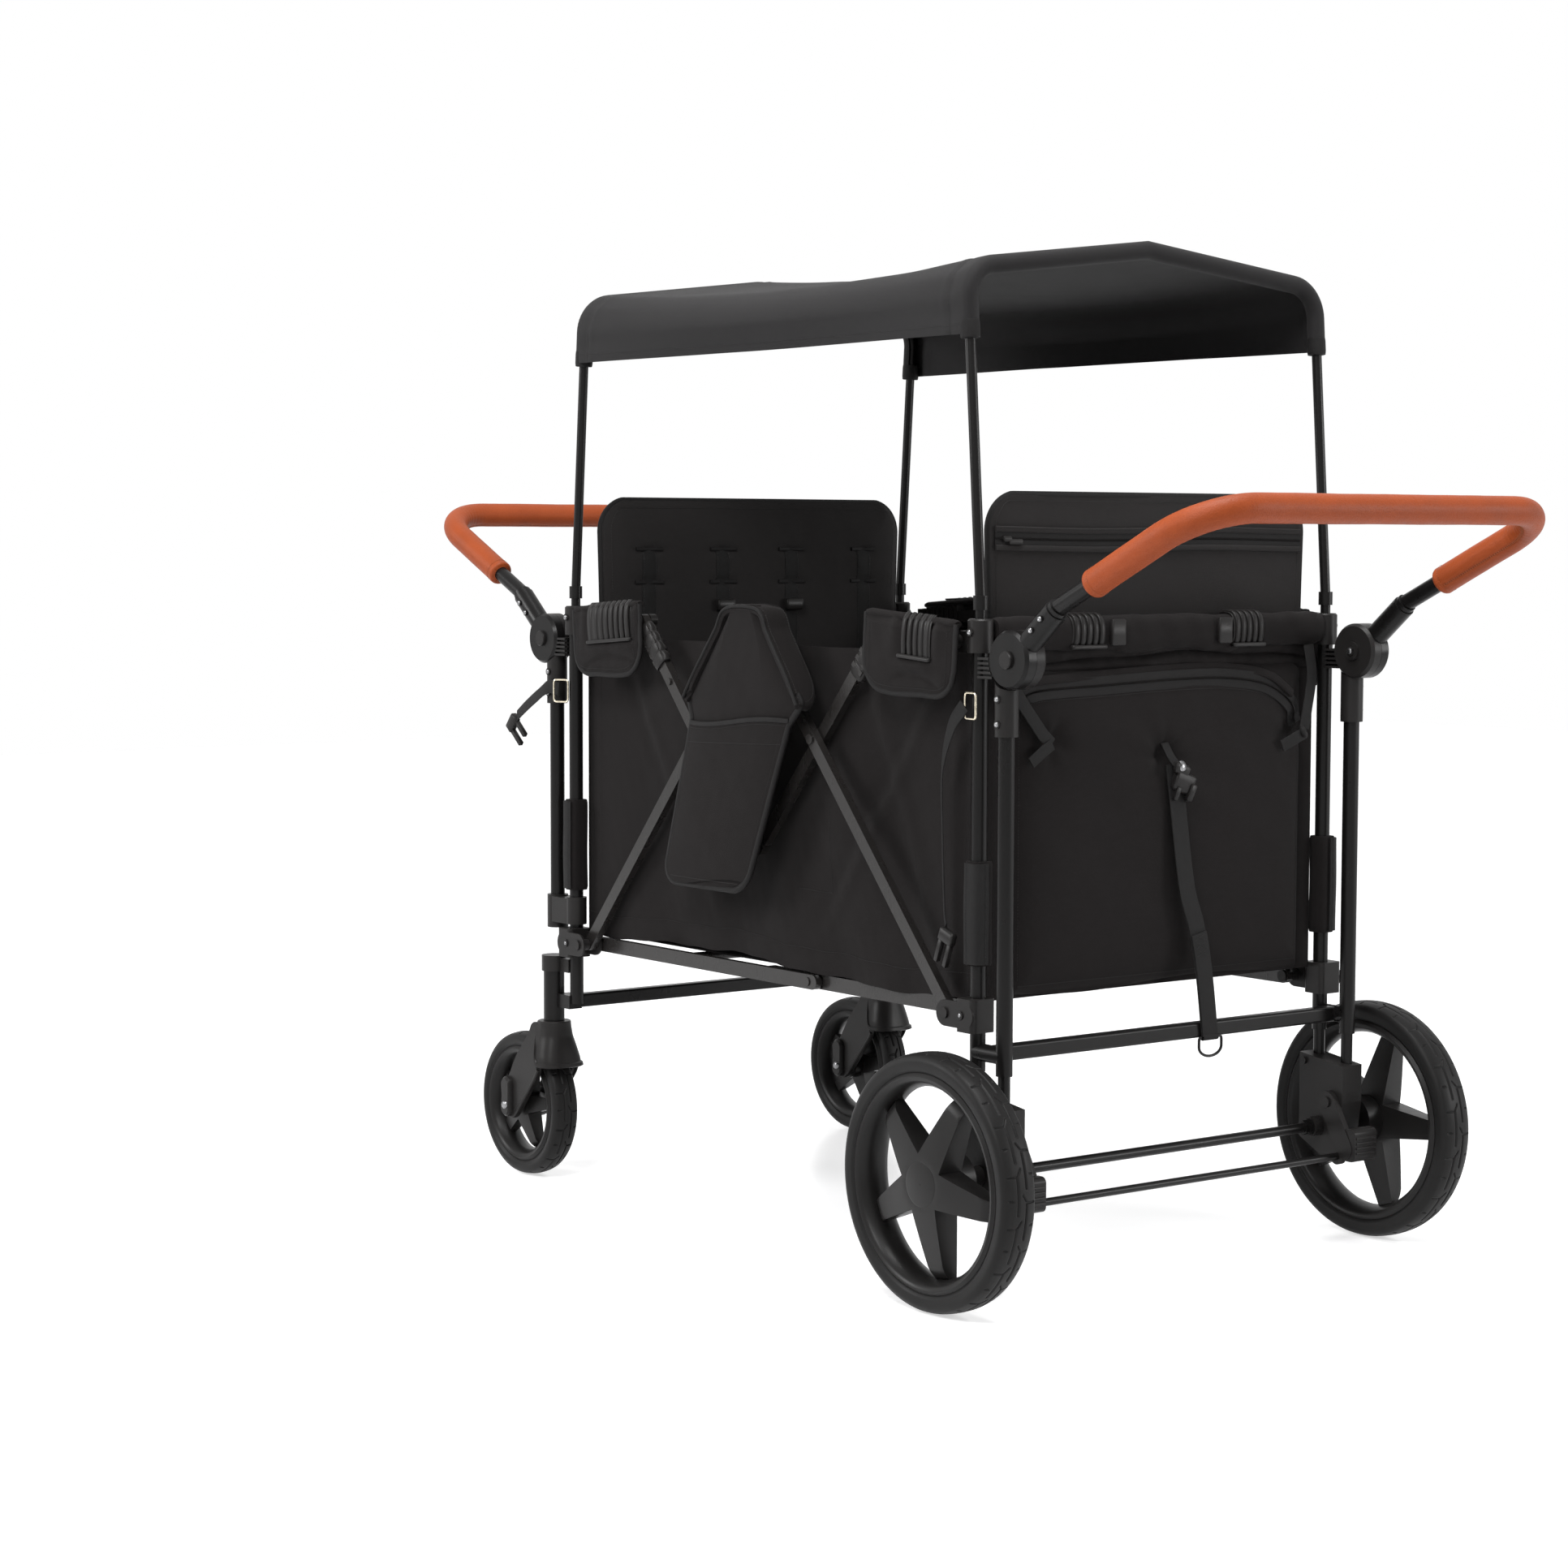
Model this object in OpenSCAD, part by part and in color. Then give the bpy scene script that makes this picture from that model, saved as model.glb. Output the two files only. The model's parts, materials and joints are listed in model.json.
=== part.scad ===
// Folding stroller wagon: scissor side frames, canopy on two bows, two push handles, rear wheels and casters.
// Millimetres. X runs across, +Y towards the casters, Z up. The origin is on the floor under the middle.

/* [Frame] */
// half the distance between left and right main posts
track_half = 274; // [240:1:310]
// half the distance between rear and front main posts
base_half = 414; // [380:1:450]
// diameter of a main post
post_d = 18; // [16:0.5:20]
// diameter of a handle post
handle_post_d = 19; // [16:0.5:21]
// how far a handle post stands outside its main post
post_gap = 46; // [42:1:56]
// height of the top of the corner brackets
rim_z = 772; // [740:1:800]
// height of the rear cross bar
rear_bar_z = 284; // [275:1:292]
// height of the front cross bar
front_bar_z = 245; // [240:1:255]
// height of a cross bar's section
bar_h = 18; // [14:1:22]
// depth of a cross bar's section
bar_t = 16; // [12:1:18]
// diameter of the tube along each end of the rim
rim_tube_d = 16; // [12:1:18]

/* [Folding sides] */
// distance of the lower pivots inside their posts
pivot_in = 34; // [32:1:40]
// height of the lower pivots
pivot_z = 326; // [320:1:330]
// height where the two scissor bars meet
apex_z = 764; // [740:1:780]
// distance of the brace crossings from the middle
cross_in = 122; // [110:1:135]
// length of a brace above its crossing
brace_up = 177; // [165:1:185]
// distance of the top link pivots inside their posts
link_in = 30; // [28:1:36]
// depth of the top link pivots under the bracket tops
link_drop = 25.4; // [22:0.1:28]
// width of the scissor bars and braces
strip_w = 16; // [12:1:18]
// thickness of the scissor bars and braces
strip_t = 10; // [8:0.5:11]
// width of the floor rails
rail_w = 18; // [14:1:20]
// thickness of the floor rails
rail_t = 9; // [6:0.5:10]
// diameter of the pivot pins
pin_d = 8; // [6:0.5:9]

/* [Wheels] */
// diameter of the rear wheels
wheel_d = 292; // [270:1:310]
// width of the rear tyres
wheel_w = 48; // [40:1:52]
// distance of a rear wheel's middle plane outside its post
wheel_out = 73; // [70:1:90]
// distance of the rear axle behind the main posts
axle_back = 18; // [12:1:24]
// diameter of the rear axle
axle_d = 12; // [10:0.5:14]
// diameter of the casters
caster_d = 194; // [180:1:200]
// width of the caster tyres
caster_w = 40; // [34:1:42]
// distance of the caster axle from the swivel axis
caster_trail = 62; // [54:1:70]
// diameter of the swivel tubes
stem_d = 28; // [26:1:32]
// number of spokes of a wheel
spokes = 5; // [4:1:7]

/* [Handles] */
// diameter of the hinge discs
hinge_d = 66; // [60:1:72]
// distance of the hinge axes outside the main posts
hinge_out = 62; // [60:1:70]
// depth of the hinge axes under the bracket tops
hinge_drop = 44; // [44:1:50]
// diameter of the handle tubes
tube_d = 20; // [18:1:22]
// diameter of the handle grips
grip_d = 33; // [28:1:36]
// length of the socket between hinge axis and tube
socket_l = 92; // [80:1:110]
// rise of the socket over level
socket_rise = 40; // [30:1:50]
// rise of the tube over level
tube_rise = 25.5; // [15:0.5:35]
// length of the tube from socket to cross grip
tube_l = 248; // [220:1:280]
// bend radius of the handle corners
handle_bend = 75; // [60:1:90]
// bare tube between socket and grip
tube_bare = 59; // [40:1:80]
// diameter of the hinge push buttons
button_d = 20; // [16:1:24]
// how far a push button stands out
button_out = 4; // [3.5:0.5:6]

/* [Canopy] */
// diameter of the canopy poles
pole_d = 12; // [10:0.5:12.5]
// length of a pole inside its post
pole_in = 150; // [120:1:180]
// height of the canopy ridge
ridge_z = 1203; // [1150:1:1260]
// rise of the ridge over the bow corners
ridge_rise = 28; // [20:1:40]
// bend radius of the bow corners
bow_bend = 40; // [30:1:55]
// lean of the poles towards the middle
bow_lean = 4; // [2:0.5:6]
// height of the canopy hem
hem_z = 1089; // [1060:1:1110]
// sag of the canopy between its bows
canopy_sag = 16; // [8:1:26]

/* [Soft parts] */
// height of the lower edge of the fabric walls
wall_low = 346; // [345:1:350]
// thickness of the fabric walls
wall_t = 4; // [3:0.5:5]
// height of the seat back tops
seat_top = 912; // [890:1:930]
// height of the seats
seat_z = 512; // [505:1:530]
// depth of the seats
seat_deep = 205; // [180:1:215]
// thickness of the seats
seat_t = 28; // [22:1:30]
// thickness of the seat backs
back_t = 21; // [16:1:22]
// width of the pouch over the scissor apex
pouch_w = 232; // [200:1:250]
// height of the pouch under the apex
pouch_h = 350; // [320:1:370]
// thickness of the pouch
pouch_t = 14; // [8:1:18]

/* [Fits] */
// gap all round pieces that are fixed together
seat_gap = 0.1; // [0.05:0.01:0.2]
// radial gap of pins that turn
run_gap = 0.1; // [0.05:0.01:0.15]
// gap between faces that pass each other
pass_gap = 0.3; // [0.2:0.05:0.5]

/* [Hidden] */
$fn = 64;
// pivots of the folding sides
pivot_y = base_half - pivot_in;
scissor_a = atan2(apex_z - pivot_z, pivot_y);
cross_z = pivot_z + (pivot_y - cross_in) * tan(scissor_a);
foot_z = cross_z - cross_in * tan(scissor_a);
knee_y = cross_in + brace_up * cos(scissor_a);
knee_z = cross_z + brace_up * sin(scissor_a);
link_y = base_half - link_in;
link_z = rim_z - link_drop;
link_l = norm([knee_y - link_y, knee_z - link_z]);
link_a = atan2(knee_z - link_z, link_y - knee_y);
link_pin = pin_d - 2;
// layers of the folding sides, counted outwards
in1 = track_half + 5;
in0 = in1 - strip_t;
out0 = in1 + 2;
out1 = out0 + strip_t;
front_rail1 = in0 - 5;
front_rail0 = front_rail1 - rail_t;
rear_rail1 = front_rail0 - 2;
rear_rail0 = rear_rail1 - rail_t;
flap0 = out1 + 4;
flap1 = flap0 + 3.5;
pouch0 = flap1 + 1;
head_h = 2.4;
// brackets and posts
collar_d = post_d + 11;
bracket_h = 38;
post_top = rim_z - 8;
clamp_z = pivot_z + 20;
// hinges and handles
hinge_y = base_half + hinge_out;
hinge_z = rim_z - hinge_drop;
split_x = track_half - 1.5;
disc_in = track_half - 17;
disc_out = track_half + 14;
tube_y = hinge_y + socket_l * cos(socket_rise);
tube_z = hinge_z + socket_l * sin(socket_rise);
handle_post_top = hinge_z - hinge_d / 2 - 1;
hinge_foot = hinge_z - 86;
hinge_pin_d = 10;
button_floor = split_x + 6.4;
// wheels
axle_y = base_half + axle_back;
axle_z = wheel_d / 2;
post_low = axle_z + 116;
post_end = axle_z + 68;
wheel_x = track_half + wheel_out;
stem_x = track_half + 9;
stem_y = base_half + 42;
stem_low = caster_d + 23;
stem_top = front_bar_z + 52;
swivel_d = 16;
caster_axle_d = 8;
caster_z = caster_d / 2;
fork_in = caster_w / 2 + 4;
fork_out = fork_in + 8;
pedal_y = base_half + 40;
pedal_z = axle_z + 33;
pedal_x = track_half - 28;
pedal_t = 7.5;
pedal_pin_d = 8;
rod_y = base_half + 58;
rod_z = axle_z - 31;
rod_d = 9;
// canopy
kink_z = rim_z + 18;
joint_gap = 0.05;
bow_slope = atan2(ridge_rise, track_half - bow_bend);
bow_rise = (track_half - bow_bend) * tan(bow_slope) + bow_bend / cos(bow_slope);
bow_h = (ridge_z - pole_d / 2 - kink_z) / cos(bow_lean) - bow_rise;
shell_r = pole_d / 2 + 3;
// soft parts
wall_x = track_half - 17;
wall_top = rim_z - bracket_h - 2;
rim_tube_z = rim_z - 20;
rim_grip_x = 104;
rim_grip_l = 46;
bag_h = rim_z - 64 - wall_low;
back_x = track_half - 26;
back_y = base_half - 16;
floor_z = pivot_z + rail_w / 2 + 0.2;
floor_t = 6;
floor_end = pivot_y - 298;
rail_lap = floor_end + 8;

// node to draw, or all

// The same piece on the right (1) or, mirrored, on the left (-1).
module on(side) {
  if (side > 0) children();
  else mirror([1, 0, 0]) children();
}

// A piece on the right and its mirror image on the left.
module both() {
  on(1) children();
  on(-1) children();
}

// A piece of the rear end mirrored to the front end.
module front() {
  mirror([0, 1, 0]) children();
}

// A flat outline in Y and Z, from x0 to x1.
module yz(x0, x1) {
  translate([x0, 0, 0]) rotate([90, 0, 90]) linear_extrude(x1 - x0) children();
}

// A round along X at y and z, from x0 to x1.
module xcyl(y, z, x0, x1, d) {
  translate([x0, y, z]) rotate([0, 90, 0]) cylinder(h = x1 - x0, d = d);
}

// A round from point p to point q.
module rod(p, q, d) {
  v = q - p;
  l = norm(v);
  translate(p) rotate([0, acos(v.z / l), atan2(v.y, v.x)]) cylinder(h = l, d = d);
}

// A flat bar with round ends between points p and q.
module bar2d(p, q, w) {
  v = q - p;
  translate(p) rotate(atan2(v.y, v.x)) translate([0, -w / 2]) square([norm(v), w]);
  translate(p) circle(d = w);
  translate(q) circle(d = w);
}

// A rectangle with round corners, its middle at the origin.
module soft_square(w, h, r) {
  square([w - 2 * r, h], center = true);
  square([w, h - 2 * r], center = true);
  for (x = [-1, 1], y = [-1, 1]) translate([x * (w / 2 - r), y * (h / 2 - r)]) circle(r = r);
}

// A closed solid between two point grids of equal size; rows turned into columns point out of the second one.
module skin(top, low) {
  n = len(top);
  m = len(top[0]);
  at = function(i, j, k) k * n * m + i * m + j;
  polyhedron(
    points = concat([for (row = top) each row], [for (row = low) each row]),
    faces = concat(
      [for (i = [0:n - 2], j = [0:m - 2]) each [
        [at(i, j, 0), at(i + 1, j, 0), at(i + 1, j + 1, 0)],
        [at(i, j, 0), at(i + 1, j + 1, 0), at(i, j + 1, 0)],
        [at(i, j, 1), at(i + 1, j + 1, 1), at(i + 1, j, 1)],
        [at(i, j, 1), at(i, j + 1, 1), at(i + 1, j + 1, 1)]
      ]],
      [for (i = [0:n - 2]) each [
        [at(i, 0, 0), at(i, 0, 1), at(i + 1, 0, 1)],
        [at(i, 0, 0), at(i + 1, 0, 1), at(i + 1, 0, 0)],
        [at(i, m - 1, 0), at(i + 1, m - 1, 1), at(i, m - 1, 1)],
        [at(i, m - 1, 0), at(i + 1, m - 1, 0), at(i + 1, m - 1, 1)]
      ]],
      [for (j = [0:m - 2]) each [
        [at(0, j, 0), at(0, j + 1, 1), at(0, j, 1)],
        [at(0, j, 0), at(0, j + 1, 0), at(0, j + 1, 1)],
        [at(n - 1, j, 0), at(n - 1, j, 1), at(n - 1, j + 1, 1)],
        [at(n - 1, j, 0), at(n - 1, j + 1, 1), at(n - 1, j + 1, 0)]
      ]]
    )
  );
}

// Posts of one end, with the bores for the canopy poles.
module main_post(y, z0) {
  difference() {
    translate([track_half, y, z0]) cylinder(h = post_top - z0, d = post_d);
    translate([track_half, y, post_top - pole_in - 4]) cylinder(h = pole_in + 5, d = pole_d + 2 * run_gap);
  }
}

module rear_frame() {
  color("#202020") {
    both() {
      main_post(-base_half, post_low);
      translate([track_half, -base_half, post_end]) cylinder(h = 60, d = post_d - 4);
      translate([track_half, -base_half - post_gap, post_low])
        cylinder(h = handle_post_top - post_low, d = handle_post_d);
      translate([track_half, -base_half - post_gap, post_end]) cylinder(h = 60, d = handle_post_d - 5);
      rod([track_half, -base_half, rear_bar_z], [track_half, -base_half - post_gap, rear_bar_z], bar_h + 2);
    }
    yz(-track_half, track_half)
      translate([-base_half - post_gap / 2, rear_bar_z]) soft_square(bar_t, bar_h, 3);
    difference() {
      xcyl(-base_half, rim_tube_z, -track_half, track_half, rim_tube_d);
      both() translate([track_half, -base_half, rim_tube_z - 20]) cylinder(h = 40, d = pole_d + 2 * run_gap);
    }
  }
}

module front_frame() {
  color("#202020") {
    both() {
      main_post(base_half, front_bar_z - 2);
      translate([track_half, base_half + post_gap, clamp_z])
        cylinder(h = handle_post_top - clamp_z, d = handle_post_d);
      difference() {
        union() {
          translate([stem_x, stem_y, stem_low]) cylinder(h = stem_top - stem_low, d = stem_d);
          translate([track_half - 8, base_half, front_bar_z - bar_h / 2]) cube([20, 32, bar_h]);
        }
        translate([stem_x, stem_y, stem_low - 1]) cylinder(h = 66, d = swivel_d + 2 * run_gap);
      }
    }
    yz(-track_half, track_half) translate([base_half + 14, front_bar_z]) soft_square(bar_t, bar_h, 3);
    difference() {
      xcyl(base_half, rim_tube_z, -track_half, track_half, rim_tube_d);
      both() translate([track_half, base_half, rim_tube_z - 20]) cylinder(h = 40, d = pole_d + 2 * run_gap);
    }
  }
}

// A corner bracket at the rear: collar with pole socket, and the tongue of the top link from x0 to x1.
module top_bracket(x0, x1) {
  difference() {
    union() {
      translate([track_half, -base_half, rim_z - bracket_h]) cylinder(h = bracket_h - 2, d = collar_d);
      translate([track_half, -base_half, rim_z - 2]) cylinder(h = 2, d1 = collar_d, d2 = collar_d - 4);
      yz(x0, x1) bar2d([-base_half, link_z], [-link_y, link_z], 23);
      xcyl(-link_y, link_z, x0 + 1, x1 + pass_gap + strip_t + pass_gap + 2, link_pin);
      xcyl(-link_y, link_z, x1 + strip_t + 2.4, x1 + strip_t + 2.4 + head_h, link_pin + 5);
      xcyl(-base_half, rim_z - 15, track_half + collar_d / 2 - 1, track_half + collar_d / 2 + 2.4, 9);
    }
    translate([track_half, -base_half, rim_z - bracket_h - 1])
      cylinder(h = bracket_h - 7 + seat_gap, d = post_d + 2 * seat_gap);
    translate([track_half, -base_half, rim_z - 20]) cylinder(h = 30, d = pole_d + 2 * run_gap);
    xcyl(-base_half, rim_tube_z, 0, track_half, rim_tube_d + 2 * seat_gap);
    translate([track_half + collar_d / 2 + 1.4, -base_half, rim_z - 15])
      rotate([0, 90, 0]) cylinder(h = 3, d = 4.6, $fn = 6);
  }
}

module rear_top_brackets() {
  color("#1c1c1c") both() top_bracket(in0 + 2, in1);
}

module front_top_brackets() {
  color("#1c1c1c") both() front() top_bracket(in0 - 10.5, in0 - 2);
}

// A lower bracket at the rear: block round the post, two cheeks and the pin of bar and rail, with its spacers.
module low_bracket(bar0, bar1, rail0, rail1) {
  outer = out1 + 1.3;
  inner = in0 - 0.7;
  difference() {
    union() {
      translate([(inner - 8 + outer + 2.7) / 2, -base_half, pivot_z - 19])
        linear_extrude(38) soft_square(outer + 2.7 - inner + 8, 31, 6);
      yz(outer, outer + 2.7) bar2d([-base_half, pivot_z], [-pivot_y, pivot_z], 30);
      yz(inner - 2.8, inner) bar2d([-base_half, pivot_z], [-pivot_y, pivot_z], 30);
      xcyl(-base_half + 6, pivot_z, outer + 2, outer + 4.2, 10);
    }
    translate([track_half, -base_half, pivot_z - 20]) cylinder(h = 40, d = post_d + 2 * seat_gap);
    xcyl(-base_half + 6, pivot_z, outer + 3, outer + 5, 5, $fn = 6);
  }
  xcyl(-pivot_y, pivot_z, rail0 - pass_gap - head_h, outer + 5, pin_d);
  xcyl(-pivot_y, pivot_z, rail0 - pass_gap - head_h, rail0 - pass_gap, pin_d + 6);
  xcyl(-pivot_y, pivot_z, outer + 2, outer + 5, pin_d + 5);
  if (bar0 - pass_gap > inner + 1) xcyl(-pivot_y, pivot_z, inner - 1, bar0 - pass_gap, pin_d + 6);
  if (outer > bar1 + pass_gap + 1) xcyl(-pivot_y, pivot_z, bar1 + pass_gap, outer + 1, pin_d + 6);
  if (inner - 2.8 > rail1 + pass_gap + 1) xcyl(-pivot_y, pivot_z, rail1 + pass_gap, inner - 2, pin_d + 6);
}

module rear_low_brackets() {
  color("#1c1c1c") both() low_bracket(out0, out1, rear_rail0, rear_rail1);
}

module front_low_brackets() {
  color("#1c1c1c") both() {
    front() low_bracket(in0, in1, front_rail0, front_rail1);
    difference() {
      union() {
        translate([track_half, base_half, clamp_z + 4]) cylinder(h = 36, d = collar_d - 2);
        translate([track_half - 13, base_half, clamp_z + 4]) cube([26, post_gap - 4, 34]);
        translate([track_half, base_half + post_gap, clamp_z - 4]) cylinder(h = 44, d = handle_post_d + 9);
      }
      translate([track_half, base_half, clamp_z + 3]) cylinder(h = 40, d = post_d + 2 * seat_gap);
      translate([track_half, base_half + post_gap, clamp_z - seat_gap])
        cylinder(h = 60, d = handle_post_d + 2 * seat_gap);
    }
    difference() {
      union() {
        translate([stem_x, stem_y, stem_top - 13]) cylinder(h = 21, d = stem_d + 5);
        translate([stem_x - 13, base_half + 5, stem_top - 13]) cube([14, 34, 18]);
      }
      translate([stem_x, stem_y, stem_top - 14]) cylinder(h = 14 + seat_gap, d = stem_d + 2 * seat_gap);
      translate([track_half, base_half, stem_top - 20]) cylinder(h = 40, d = post_d + 2 * seat_gap);
    }
  }
}

// Half a hinge disc with chamfered rim, from its flat face outwards.
module disc(t, d) {
  rotate_extrude() polygon([[0, 0], [d / 2, 0], [d / 2, t - 4], [d / 2 - 3, t], [0, t]]);
}

// The fixed half of a handle hinge at the rear: disc, pin, post socket and the ribbed block to the main post.
module hinge_base() {
  difference() {
    union() {
      translate([split_x - 0.2, -hinge_y, hinge_z]) rotate([0, -90, 0]) disc(split_x - 0.2 - disc_in, hinge_d);
      translate([track_half, -base_half - post_gap, hinge_foot]) cylinder(h = 64, d = handle_post_d + 8);
      for (i = [0:4]) translate([track_half - 12, -hinge_y + 28, hinge_z - 22 + i * 5.2])
        cube([24, hinge_out - 28 - post_d / 2 - 0.1, 2.8]);
      translate([track_half - 6, -hinge_y + 28, hinge_z - 22])
        cube([12, hinge_out - 28 - post_d / 2 - 3, 23.6]);
      xcyl(-hinge_y, hinge_z, disc_in - 3, disc_in + 1, 22);
      translate([disc_in - 6, -hinge_y, hinge_z]) rotate([0, 90, 0]) cylinder(h = 4, d = 11, $fn = 6);
      for (z = [14, 42])
        xcyl(-base_half - post_gap, hinge_foot + z, track_half, track_half + handle_post_d / 2 + 5.6, 9);
    }
    translate([split_x - 0.2, -hinge_y, hinge_z]) rotate([0, 90, 0]) cylinder(h = 60, d = hinge_d + 2);
    translate([track_half, -base_half - post_gap, hinge_foot - 12])
      cylinder(h = handle_post_top - hinge_foot + 12 + seat_gap, d = handle_post_d + 2 * seat_gap);
    translate([track_half, -base_half, hinge_z - 128]) cylinder(h = 200, d = post_d + 2 * seat_gap);
  }
  xcyl(-hinge_y, hinge_z, split_x - 4, button_floor - 0.4, hinge_pin_d);
}

module rear_hinge_bases() {
  color("#1c1c1c") both() hinge_base();
}

module front_hinge_bases() {
  color("#1c1c1c") both() front() hinge_base();
}

// The U of a handle seen flat: arms along Y from y0, corners, cross bar.
module u_tube(d, y0) {
  l = tube_l - handle_bend;
  for (s = [-1, 1]) {
    translate([s * track_half, y0, 0]) rotate([-90, 0, 0]) cylinder(h = l - y0, d = d);
    translate([s * (track_half - handle_bend), l, 0])
      rotate([0, 0, s > 0 ? 0 : 90]) rotate_extrude(angle = 90) translate([handle_bend, 0]) circle(d = d);
  }
  xcyl(tube_l, 0, -track_half + handle_bend, track_half - handle_bend, d);
}

// Places the flat U at the end of the rear sockets.
module at_tube() {
  translate([0, -tube_y, tube_z]) rotate([180 - tube_rise, 0, 0]) children();
}

module handle() {
  dir = [0, -cos(socket_rise), sin(socket_rise)];
  axis = [track_half, -hinge_y, hinge_z];
  both() difference() {
    union() {
      translate([split_x + 0.2, -hinge_y, hinge_z]) rotate([0, 90, 0]) disc(disc_out - split_x - 0.2, hinge_d);
      rod(axis + dir * 18, axis + dir * (socket_l - 6), tube_d + 7);
      rod(axis + dir * 50, axis + dir * socket_l, tube_d + 4);
      for (k = [52, 72]) translate(axis + dir * k + [4, 0, 0])
        rotate([0, 90, 0]) cylinder(h = tube_d / 2 + 1.4, d = 8);
    }
    translate([split_x + 0.2, -hinge_y, hinge_z]) rotate([0, -90, 0]) cylinder(h = 60, d = hinge_d + 2);
    xcyl(-hinge_y, hinge_z, split_x - 1, button_floor, hinge_pin_d + 2 * run_gap);
    xcyl(-hinge_y, hinge_z, button_floor, disc_out + 2, button_d + 2 * run_gap + 0.2);
  }
  at_tube() u_tube(tube_d, -4);
}

module rear_handle() {
  color("#202020") handle();
}

module front_handle() {
  color("#202020") front() handle();
}

// The leather sleeve round the handle, with rolled ends.
module grip() {
  at_tube() difference() {
    union() {
      u_tube(grip_d, tube_bare + 3);
      for (s = [-1, 1]) translate([s * track_half, tube_bare, 0])
        rotate([-90, 0, 0]) cylinder(h = 3.01, d1 = grip_d - 4, d2 = grip_d);
    }
    u_tube(tube_d + 2 * seat_gap, -1);
  }
}

module rear_grip() {
  color("#b4552a") grip();
}

module front_grip() {
  color("#b4552a") front() grip();
}

module button() {
  x0 = button_floor + button_out - 0.4;
  xcyl(-hinge_y, hinge_z, x0, disc_out + button_out - 1, button_d);
  translate([disc_out + button_out - 1, -hinge_y, hinge_z])
    rotate([0, 90, 0]) cylinder(h = 1, d1 = button_d, d2 = button_d - 2);
}

module button_rear_left() {
  color("#262626") on(-1) button();
}

module button_rear_right() {
  color("#262626") on(1) button();
}

module button_front_left() {
  color("#262626") on(-1) front() button();
}

module button_front_right() {
  color("#262626") on(1) front() button();
}

// Housing of a rear wheel: takes both posts and the axle, and carries the pedal's pin.
module housing() {
  difference() {
    union() {
      yz(track_half - 20, track_half + 13) polygon([
        [-base_half + 13, post_end + 20], [-base_half - post_gap - 13, post_end + 10],
        [-base_half - post_gap - 13, pedal_z],
        [-axle_y - 32, axle_z - 34], [-axle_y - 8, axle_z - 36], [-base_half + 13, axle_z - 16]
      ]);
      xcyl(-axle_y, axle_z, track_half - 34, track_half + 34, 24);
      xcyl(-base_half + 5, post_end + 10, track_half - 23, track_half, 9);
    }
    translate([track_half, -base_half, post_end - seat_gap]) cylinder(h = 60, d = post_d - 4 + 2 * seat_gap);
    translate([track_half, -base_half - post_gap, post_end - seat_gap])
      cylinder(h = 60, d = handle_post_d - 5 + 2 * seat_gap);
    xcyl(-axle_y, axle_z, 0, 2 * track_half, axle_d + 2 * seat_gap);
  }
  xcyl(-pedal_y, pedal_z, pedal_x - 2.6, pedal_x + 10, pedal_pin_d);
  xcyl(-pedal_y, pedal_z, pedal_x - 2.6, pedal_x - 0.4, pedal_pin_d + 5);
}

module wheel_housings() {
  color("#1c1c1c") both() housing();
}

module rear_axle() {
  end = wheel_x + wheel_w / 2 - 14;
  color("#3a3a3c") {
    xcyl(-axle_y, axle_z, -end, end, axle_d);
    both() {
      xcyl(-axle_y, axle_z, track_half - 40, track_half - 34 - seat_gap, axle_d + 8);
      translate([track_half - 46, -axle_y, axle_z]) rotate([0, 90, 0]) cylinder(h = 7, d = axle_d + 6, $fn = 6);
      xcyl(-axle_y, axle_z, track_half + 34 + seat_gap, track_half + 38, axle_d + 10);
    }
  }
}

// Lever beside a housing with a ribbed foot pad behind it.
module pedal() {
  difference() {
    union() {
      yz(pedal_x, pedal_x + pedal_t) bar2d([-pedal_y, pedal_z], [-pedal_y - 30, axle_z - 20], 26);
      yz(pedal_x, pedal_x + pedal_t) polygon([
        [-rod_y - 9, rod_z], [-rod_y + 9, rod_z - 4], [-pedal_y - 20, axle_z - 20], [-pedal_y - 34, axle_z - 12]
      ]);
      xcyl(-rod_y, rod_z, pedal_x, pedal_x + pedal_t, rod_d + 11);
      yz(pedal_x + 1, track_half + 10) translate([-pedal_y - 38, axle_z - 15]) soft_square(20, 40, 7);
      for (i = [0:3])
        xcyl(-pedal_y - 47.5, axle_z - 24 + i * 6, pedal_x + 3, track_half + 8, 3.6);
    }
    xcyl(-pedal_y, pedal_z, pedal_x - 1, pedal_x + pedal_t + 1, pedal_pin_d + 2 * run_gap);
    xcyl(-rod_y, rod_z, pedal_x - 1, pedal_x + 6, rod_d + 2 * seat_gap);
  }
}

module brake_pedals() {
  color("#1c1c1c") both() pedal();
}

module brake_rod() {
  x1 = pedal_x + 6 - seat_gap;
  color("#202020") xcyl(-rod_y, rod_z, -x1, x1, rod_d);
}

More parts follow.
